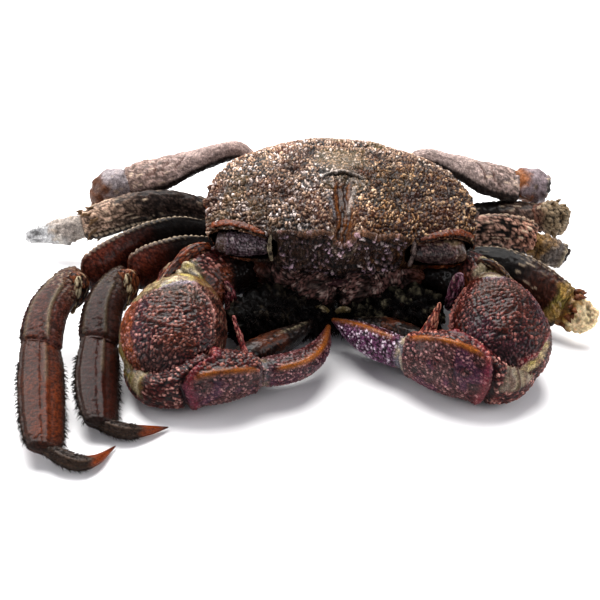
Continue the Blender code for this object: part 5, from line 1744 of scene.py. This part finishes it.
# %% Make the broken legs
def dress_stump(f, near, far, break_at, torn, end, lumpy=0.5):
    scale, own = grains(stirred(f.p, 1.6, 0.5, 241), 1.05, 243)
    slow, rough = drift(f.p, 2.0, 247), drift(f.p, 0.9, 249)
    past = rise(f.t + 0.10 * rough + 0.08 * slow, break_at - 0.03, break_at + 0.04)
    relief = 0.40 * lumpy * (scale - 0.4) * (1 - past) + 0.35 * slow + past * (torn * rough - 0.35)
    relief += 0.14 * np.sin(f.mm * 3.2 + 4 * slow) * (1 - past)
    tint = wash(near, far, rise(f.t + 0.25 * slow + 0.1 * own, 0.30, 0.6))
    tint = wash(tint, PITCH, 1.3 * lumpy * (1 - rise(scale, 0.15, 0.55)) * (1 - past))
    tint = wash(tint, LEG_BEAD, 0.6 * rise(scale, 0.6, 0.95) * rise(own, 0.75, 0.95))
    tint = wash(tint, SKIN_CREAM, 0.5 * bump(f.t, break_at - 0.04, 0.05) * (0.5 + slow))
    # Painted shade in the hollows of the torn end.
    return relief, wash(tint, wash(end, end * 0.5, rise(-rough, 0, 0.6)), past), 0.40 + 0.08 * rough


# The two rear thighs, left_4 and right_4, are painted pale: partly their own grey-brown, partly painted sheen
# of the window on their wet tops.
THIGH_MARKS = {
    "left_3": dict(near=pigment(84, 66, 58), far=pigment(236, 196, 168) * 1.45, beaded=0.0, scuffed=0.8,
                   hemmed=1.0, dark_from=122),
    "left_4": dict(near=pigment(230, 200, 190) * 1.15, far=pigment(218, 184, 170) * 1.15, beaded=0.1,
                   gloss=1.0, dark_from=150),
    "right_1": dict(near=PITCH, far=pigment(90, 44, 28), beaded=0.8, scuffed=0.4, tipped=0.85),
    "right_2": dict(near=pigment(250, 196, 172) * 1.15, far=pigment(240, 170, 142) * 1.15, beaded=0.8,
                    scuffed=1.0, dark_from=134),
    "right_3": dict(near=LEG_BLACK, far=pigment(140, 110, 96), beaded=0.4, scuffed=0.6, dark_from=120),
    "right_4": dict(near=pigment(250, 222, 212), far=pigment(242, 210, 198), beaded=0.1, gloss=1.0,
                    dark_from=140),
}
# The left_3 stump is painted white: partly its pale skin, partly painted light where the lamp washes it out.
STUMP_MARKS = {  # near, far, break_at, torn, end, lumpy
    "left_3": (pigment(220, 206, 194), pigment(250, 246, 242), 0.50, 0.3, pigment(255, 255, 255), 0.25),
    "left_4": (pigment(200, 188, 190), pigment(132, 88, 66), 0.93, 0.3, pigment(80, 44, 32), 0.2),
    "right_1": (pigment(150, 104, 44), FLESH_OCHRE, 0.45, 0.5, FLESH_PALE * (1.4, 1.35, 1.3), 0.3),
    "right_2": (pigment(176, 134, 80), pigment(128, 116, 108), 0.80, 0.5, pigment(60, 50, 46), 0.6),
    "right_3": (pigment(140, 96, 80), pigment(180, 156, 124), 0.85, 0.5, pigment(156, 134, 108), 0.7),
    "right_4": (pigment(186, 116, 72), pigment(170, 152, 156), 0.88, 0.4, pigment(54, 46, 44), 0.2),
}
for word, form in BROKEN_LEGS.items():
    make_thigh(word, form, **THIGH_MARKS[word])
    near, far, break_at, torn, end, lumpy = STUMP_MARKS[word]
    stump = dict(path=form["stump"], height=form["stump_height"], depth=form["stump_depth"],
                 crest=form["stump_crest"], corner=2.2, blunt=(3.0, 4.0))
    limb(f"crab_leg_{word}_stump", stump, dress_stump, "flesh" if word == "right_1" else "leg",
         [f"leg_{word}_stump"], fine=0.19, near=near, far=far, break_at=break_at, torn=torn, end=end,
         lumpy=lumpy)
print("legs:", sum(size for name, size in piece_sizes.items() if "leg" in name), "triangles")

# %% [markdown]
# ## Bristles and shards
# The legs' edges carry short stiff bristles. A hair system would not leave Blender with the model, so each
# bristle is a thin three-sided cone, rooted at a point of the finished skin and leaning towards the toe.
# The same cones, much thicker, make the shards at the breaks.

# %% Cones in one mesh
def cones(name, roots, ways, long, thick, tint, slot, bend=0.25):
    """One mesh of many three-sided cones that droop a little on their way out."""
    count = len(roots)
    ways = ways / np.linalg.norm(ways, axis=1)[:, None]
    across = np.cross(ways, np.where(np.abs(ways[:, 2:]) < 0.8, [[0, 0, 1.0]], [[1.0, 0, 0]]))
    across /= np.linalg.norm(across, axis=1)[:, None]
    other = np.cross(ways, across)
    long, thick = np.broadcast_to(long, count)[:, None], np.broadcast_to(thick, count)[:, None]
    droop = np.array([0, 0, -1.0]) * long * bend
    stations = []
    for share, width in ((-0.12, 1.0), (0.5, 0.7)):
        middle = roots + ways * long * share + droop * max(share, 0) ** 2
        for turn in (0, 120, 240):
            angle = math.radians(turn)
            stations.append(middle + thick / 2 * width
                            * (across * math.cos(angle) + other * math.sin(angle)))
    points = np.stack([*stations, roots + ways * long + droop], 1).reshape(-1, 3)
    base = 7 * np.arange(count)[:, None]
    quads = np.vstack([base + np.array([a, b, b + 3, a + 3]) for a, b in ((0, 1), (1, 2), (2, 0))])
    tris = np.vstack([base + np.array(three) for three in ((2, 1, 0), (3, 4, 6), (4, 5, 6), (5, 3, 6))])
    tints = np.repeat(np.broadcast_to(tint, (count, 3)), 7, axis=0)
    return place(name, mesh_of(name, points, [quads, tris], tints, 0.4), slot)


# %% [markdown]
# Every limb kept its finished skin, so a bristle can ask for a place on it: within a few degrees of an
# angle, and between two shares of its length. Chance picks the points, and gives each bristle its own
# length and lean.

# %% Bristles and shards
DARK_HAIR, GREY_HAIR = pigment(40, 31, 27), pigment(128, 118, 110)


def bristles(name, skin, around, along, count, size, tint=DARK_HAIR, lean=0.8, salt=1):
    """Bristles within (angle, spread) round a skin and (start, end) along it, of (length, thickness)."""
    f = skins[f"crab_{skin}"]
    away = np.abs((f.angle - around[0] + 180) % 360 - 180)
    ready = np.flatnonzero((away < around[1]) & (f.t > along[0]) & (f.t < along[1]))
    chance = np.random.default_rng(salt)
    chosen = chance.choice(ready, min(count, len(ready)), replace=False)
    ways = f.out[chosen] + lean * f.run[chosen] + 0.35 * chance.standard_normal((len(chosen), 3))
    shade = 0.6 + 0.8 * chance.random(len(chosen))[:, None]
    long = size[0] * (0.6 + 0.8 * chance.random(len(chosen)))
    cones(name, f.p[chosen], ways, long, size[1], tint * shade, "leg")


bristles("fuzz_left_3", "leg_left_3_thigh", (180, 40), (0.2, 0.7), 420, (0.8, 0.13), GREY_HAIR, salt=2)
bristles("fuzz_right_3", "leg_right_3_thigh", (180, 40), (0.5, 0.97), 160, (0.9, 0.13), salt=3)
for number, word in enumerate(WHOLE_LEGS):
    leg = f"leg_{word}"
    bristles(f"hair_shin_out_{word}", f"{leg}_shin", (0, 14), (0.25, 0.97), 150, (0.8, 0.16),
             salt=10 + number)
    bristles(f"hair_shin_in_{word}", f"{leg}_shin", (180, 26), (0.2, 0.95), 200, (0.8, 0.14),
             salt=20 + number)
    bristles(f"hair_toe_{word}", f"{leg}_toe", (0, 180), (0.05, 0.5), 300, (0.5, 0.12), lean=1.6,
             salt=30 + number)
    bristles(f"hair_knee_{word}", f"{leg}_knee", (0, 20), (0.3, 0.95), 70, (0.5, 0.14), salt=40 + number)
for word, skin, around, along, count, size, tint, lean, salt in (
        ("left_3", "thigh", (0, 180), (0.86, 0.98), 24, (1.1, 0.7), pigment(150, 116, 84), 1.2, 51),
        ("right_1", "stump", (60, 90), (0.26, 0.40), 10, (1.5, 1.3), pigment(120, 70, 44), 1.0, 52),
        ("right_3", "stump", (60, 120), (0.45, 0.75), 14, (0.8, 0.8), pigment(150, 126, 96), 0.6, 53)):
    bristles(f"shards_{word}", f"leg_{word}_{skin}", around, along, count, size, tint, lean, salt)
for number, (word, _) in enumerate(SIDES):
    bristles(f"mouth_fringe_{word}", f"mouthpart_{word}", (180, 50), (0.1, 0.95), 120, (0.9, 0.12), lean=0.3,
             salt=54 + number)
for word, side in SIDES:
    # The hair on the fringes is darkened further, as the shade of the pocket.
    bristles(f"hair_fringe_{word}", f"fringe_{word}", (90 * side, 90), (0.05, 0.97), 900, (1.3, 0.15),
             DARK_HAIR * 0.7, lean=0.1, salt=56)
print("bristles:", sum(size for name, size in piece_sizes.items() if "hair" in name or "fuzz" in name),
      "triangles")

# %% [markdown]
# ## Table, light and camera
# The crab lies on a plain white table, far wider than the picture, so that no edge shows. It is stage, and
# doesn't belong to the model.

# %% Table
def table():
    half = 1.2
    mesh = bpy.data.meshes.new("table")
    mesh.from_pydata([(-half, -half, 0), (half, -half, 0), (half, half, 0), (-half, half, 0)], [],
                     [(0, 1, 2, 3)])
    top = bpy.data.objects.new("table", mesh)
    bpy.context.scene.collection.objects.link(top)
    material = bpy.data.materials.new("white_table")
    material.use_nodes = True
    nodes, links = material.node_tree.nodes, material.node_tree.links
    shader = nodes["Principled BSDF"]
    noise = nodes.new("ShaderNodeTexNoise")
    noise.inputs["Scale"].default_value = 40
    shade = nodes.new("ShaderNodeMapRange")
    shade.inputs["To Min"].default_value = 0.45
    shade.inputs["To Max"].default_value = 0.55
    links.new(noise.outputs["Fac"], shade.inputs["Value"])
    links.new(shade.outputs["Result"], shader.inputs["Roughness"])
    shader.inputs["Base Color"].default_value = (0.885, 0.885, 0.89, 1)
    mesh.materials.append(material)
    print("a table", 2 * half, "m wide")


table()

# %% [markdown]
# A broad soft light hangs behind and above the crab, so its back shines, its face is dark and the shadow
# falls forward. Two weak ones, like sheets of white paper at its sides, lift the legs out of the dark. A
# pale sky all round keeps the shadow bluish and soft.

# %% Light
def soft_light(name, where, size, power, colour):
    """A round lamp at a place, turned to the crab."""
    lamp = bpy.data.lights.new(name, "AREA")
    lamp.shape = "DISK"
    lamp.size, lamp.energy, lamp.color = size, power, colour
    holder = bpy.data.objects.new(name, lamp)
    holder.location = where
    toward = -np.array(where) + (0, 0, 0.01)
    back = -toward / np.linalg.norm(toward)
    holder.rotation_euler = (math.acos(back[2]), 0, math.atan2(back[0], -back[1]))
    bpy.context.scene.collection.objects.link(holder)


soft_light("window_behind", (-0.08, 0.28, 0.44), 0.54, 9.0, (1.0, 0.985, 0.97))
soft_light("paper_left", (-0.46, -0.04, 0.20), 0.36, 1.35, (1.0, 0.99, 1.0))
soft_light("paper_right", (0.46, -0.04, 0.20), 0.36, 1.35, (1.0, 0.99, 1.0))
world = bpy.data.worlds.new("sky")
bpy.context.scene.world = world
world.use_nodes = True
world.node_tree.nodes["Background"].inputs["Color"].default_value = (0.94, 0.92, 1.0, 1)
world.node_tree.nodes["Background"].inputs["Strength"].default_value = 0.36
bpy.context.scene.view_settings.view_transform = "Standard"
print("lights:", ", ".join(lamp.name for lamp in bpy.data.lights))

# %% [markdown]
# The camera looks down at the crab's face with a long lens, from so far that its legs hardly narrow. Its
# place and its lens were matched to the photograph, which was taken with a slight tilt.

# %% Camera
CAMERA_AT = (-0.014152, -0.245364, 0.178673)
ELEVATION, AZIMUTH, ROLL, LENS = 35.0, -3.0, 4.0, 115.74


def camera():
    e, a, r = (math.radians(v) for v in (ELEVATION, AZIMUTH, ROLL))
    back = np.array([math.sin(a) * math.cos(e), -math.cos(a) * math.cos(e), math.sin(e)])
    right = np.cross(-back, (0, 0, 1))
    right /= np.linalg.norm(right)
    up = np.cross(right, -back)
    lens = bpy.data.cameras.new("camera")
    lens.sensor_width, lens.lens, lens.clip_start = 36.0, LENS, 0.01
    holder = bpy.data.objects.new("camera", lens)
    turned = np.column_stack([math.cos(r) * right + math.sin(r) * up,
                              -math.sin(r) * right + math.cos(r) * up, back])
    matrix = np.eye(4)
    matrix[:3, :3], matrix[:3, 3] = turned, CAMERA_AT
    bpy.context.scene.collection.objects.link(holder)
    holder.matrix_world = matrix.T.tolist()
    bpy.context.scene.camera = holder


camera()
print("a lens of", LENS, "mm looks down at", ELEVATION, "degrees")

# %% [markdown]
# Last, the pieces and their triangles are counted. The dressed crab has to fill the
# same box as the imported one, neither more nor less.

# %% Count the pieces and their triangles
bpy.context.view_layer.update()
print("pieces:", len(piece_sizes), "triangles:", sum(piece_sizes.values()), "largest:",
      max(piece_sizes.values()))
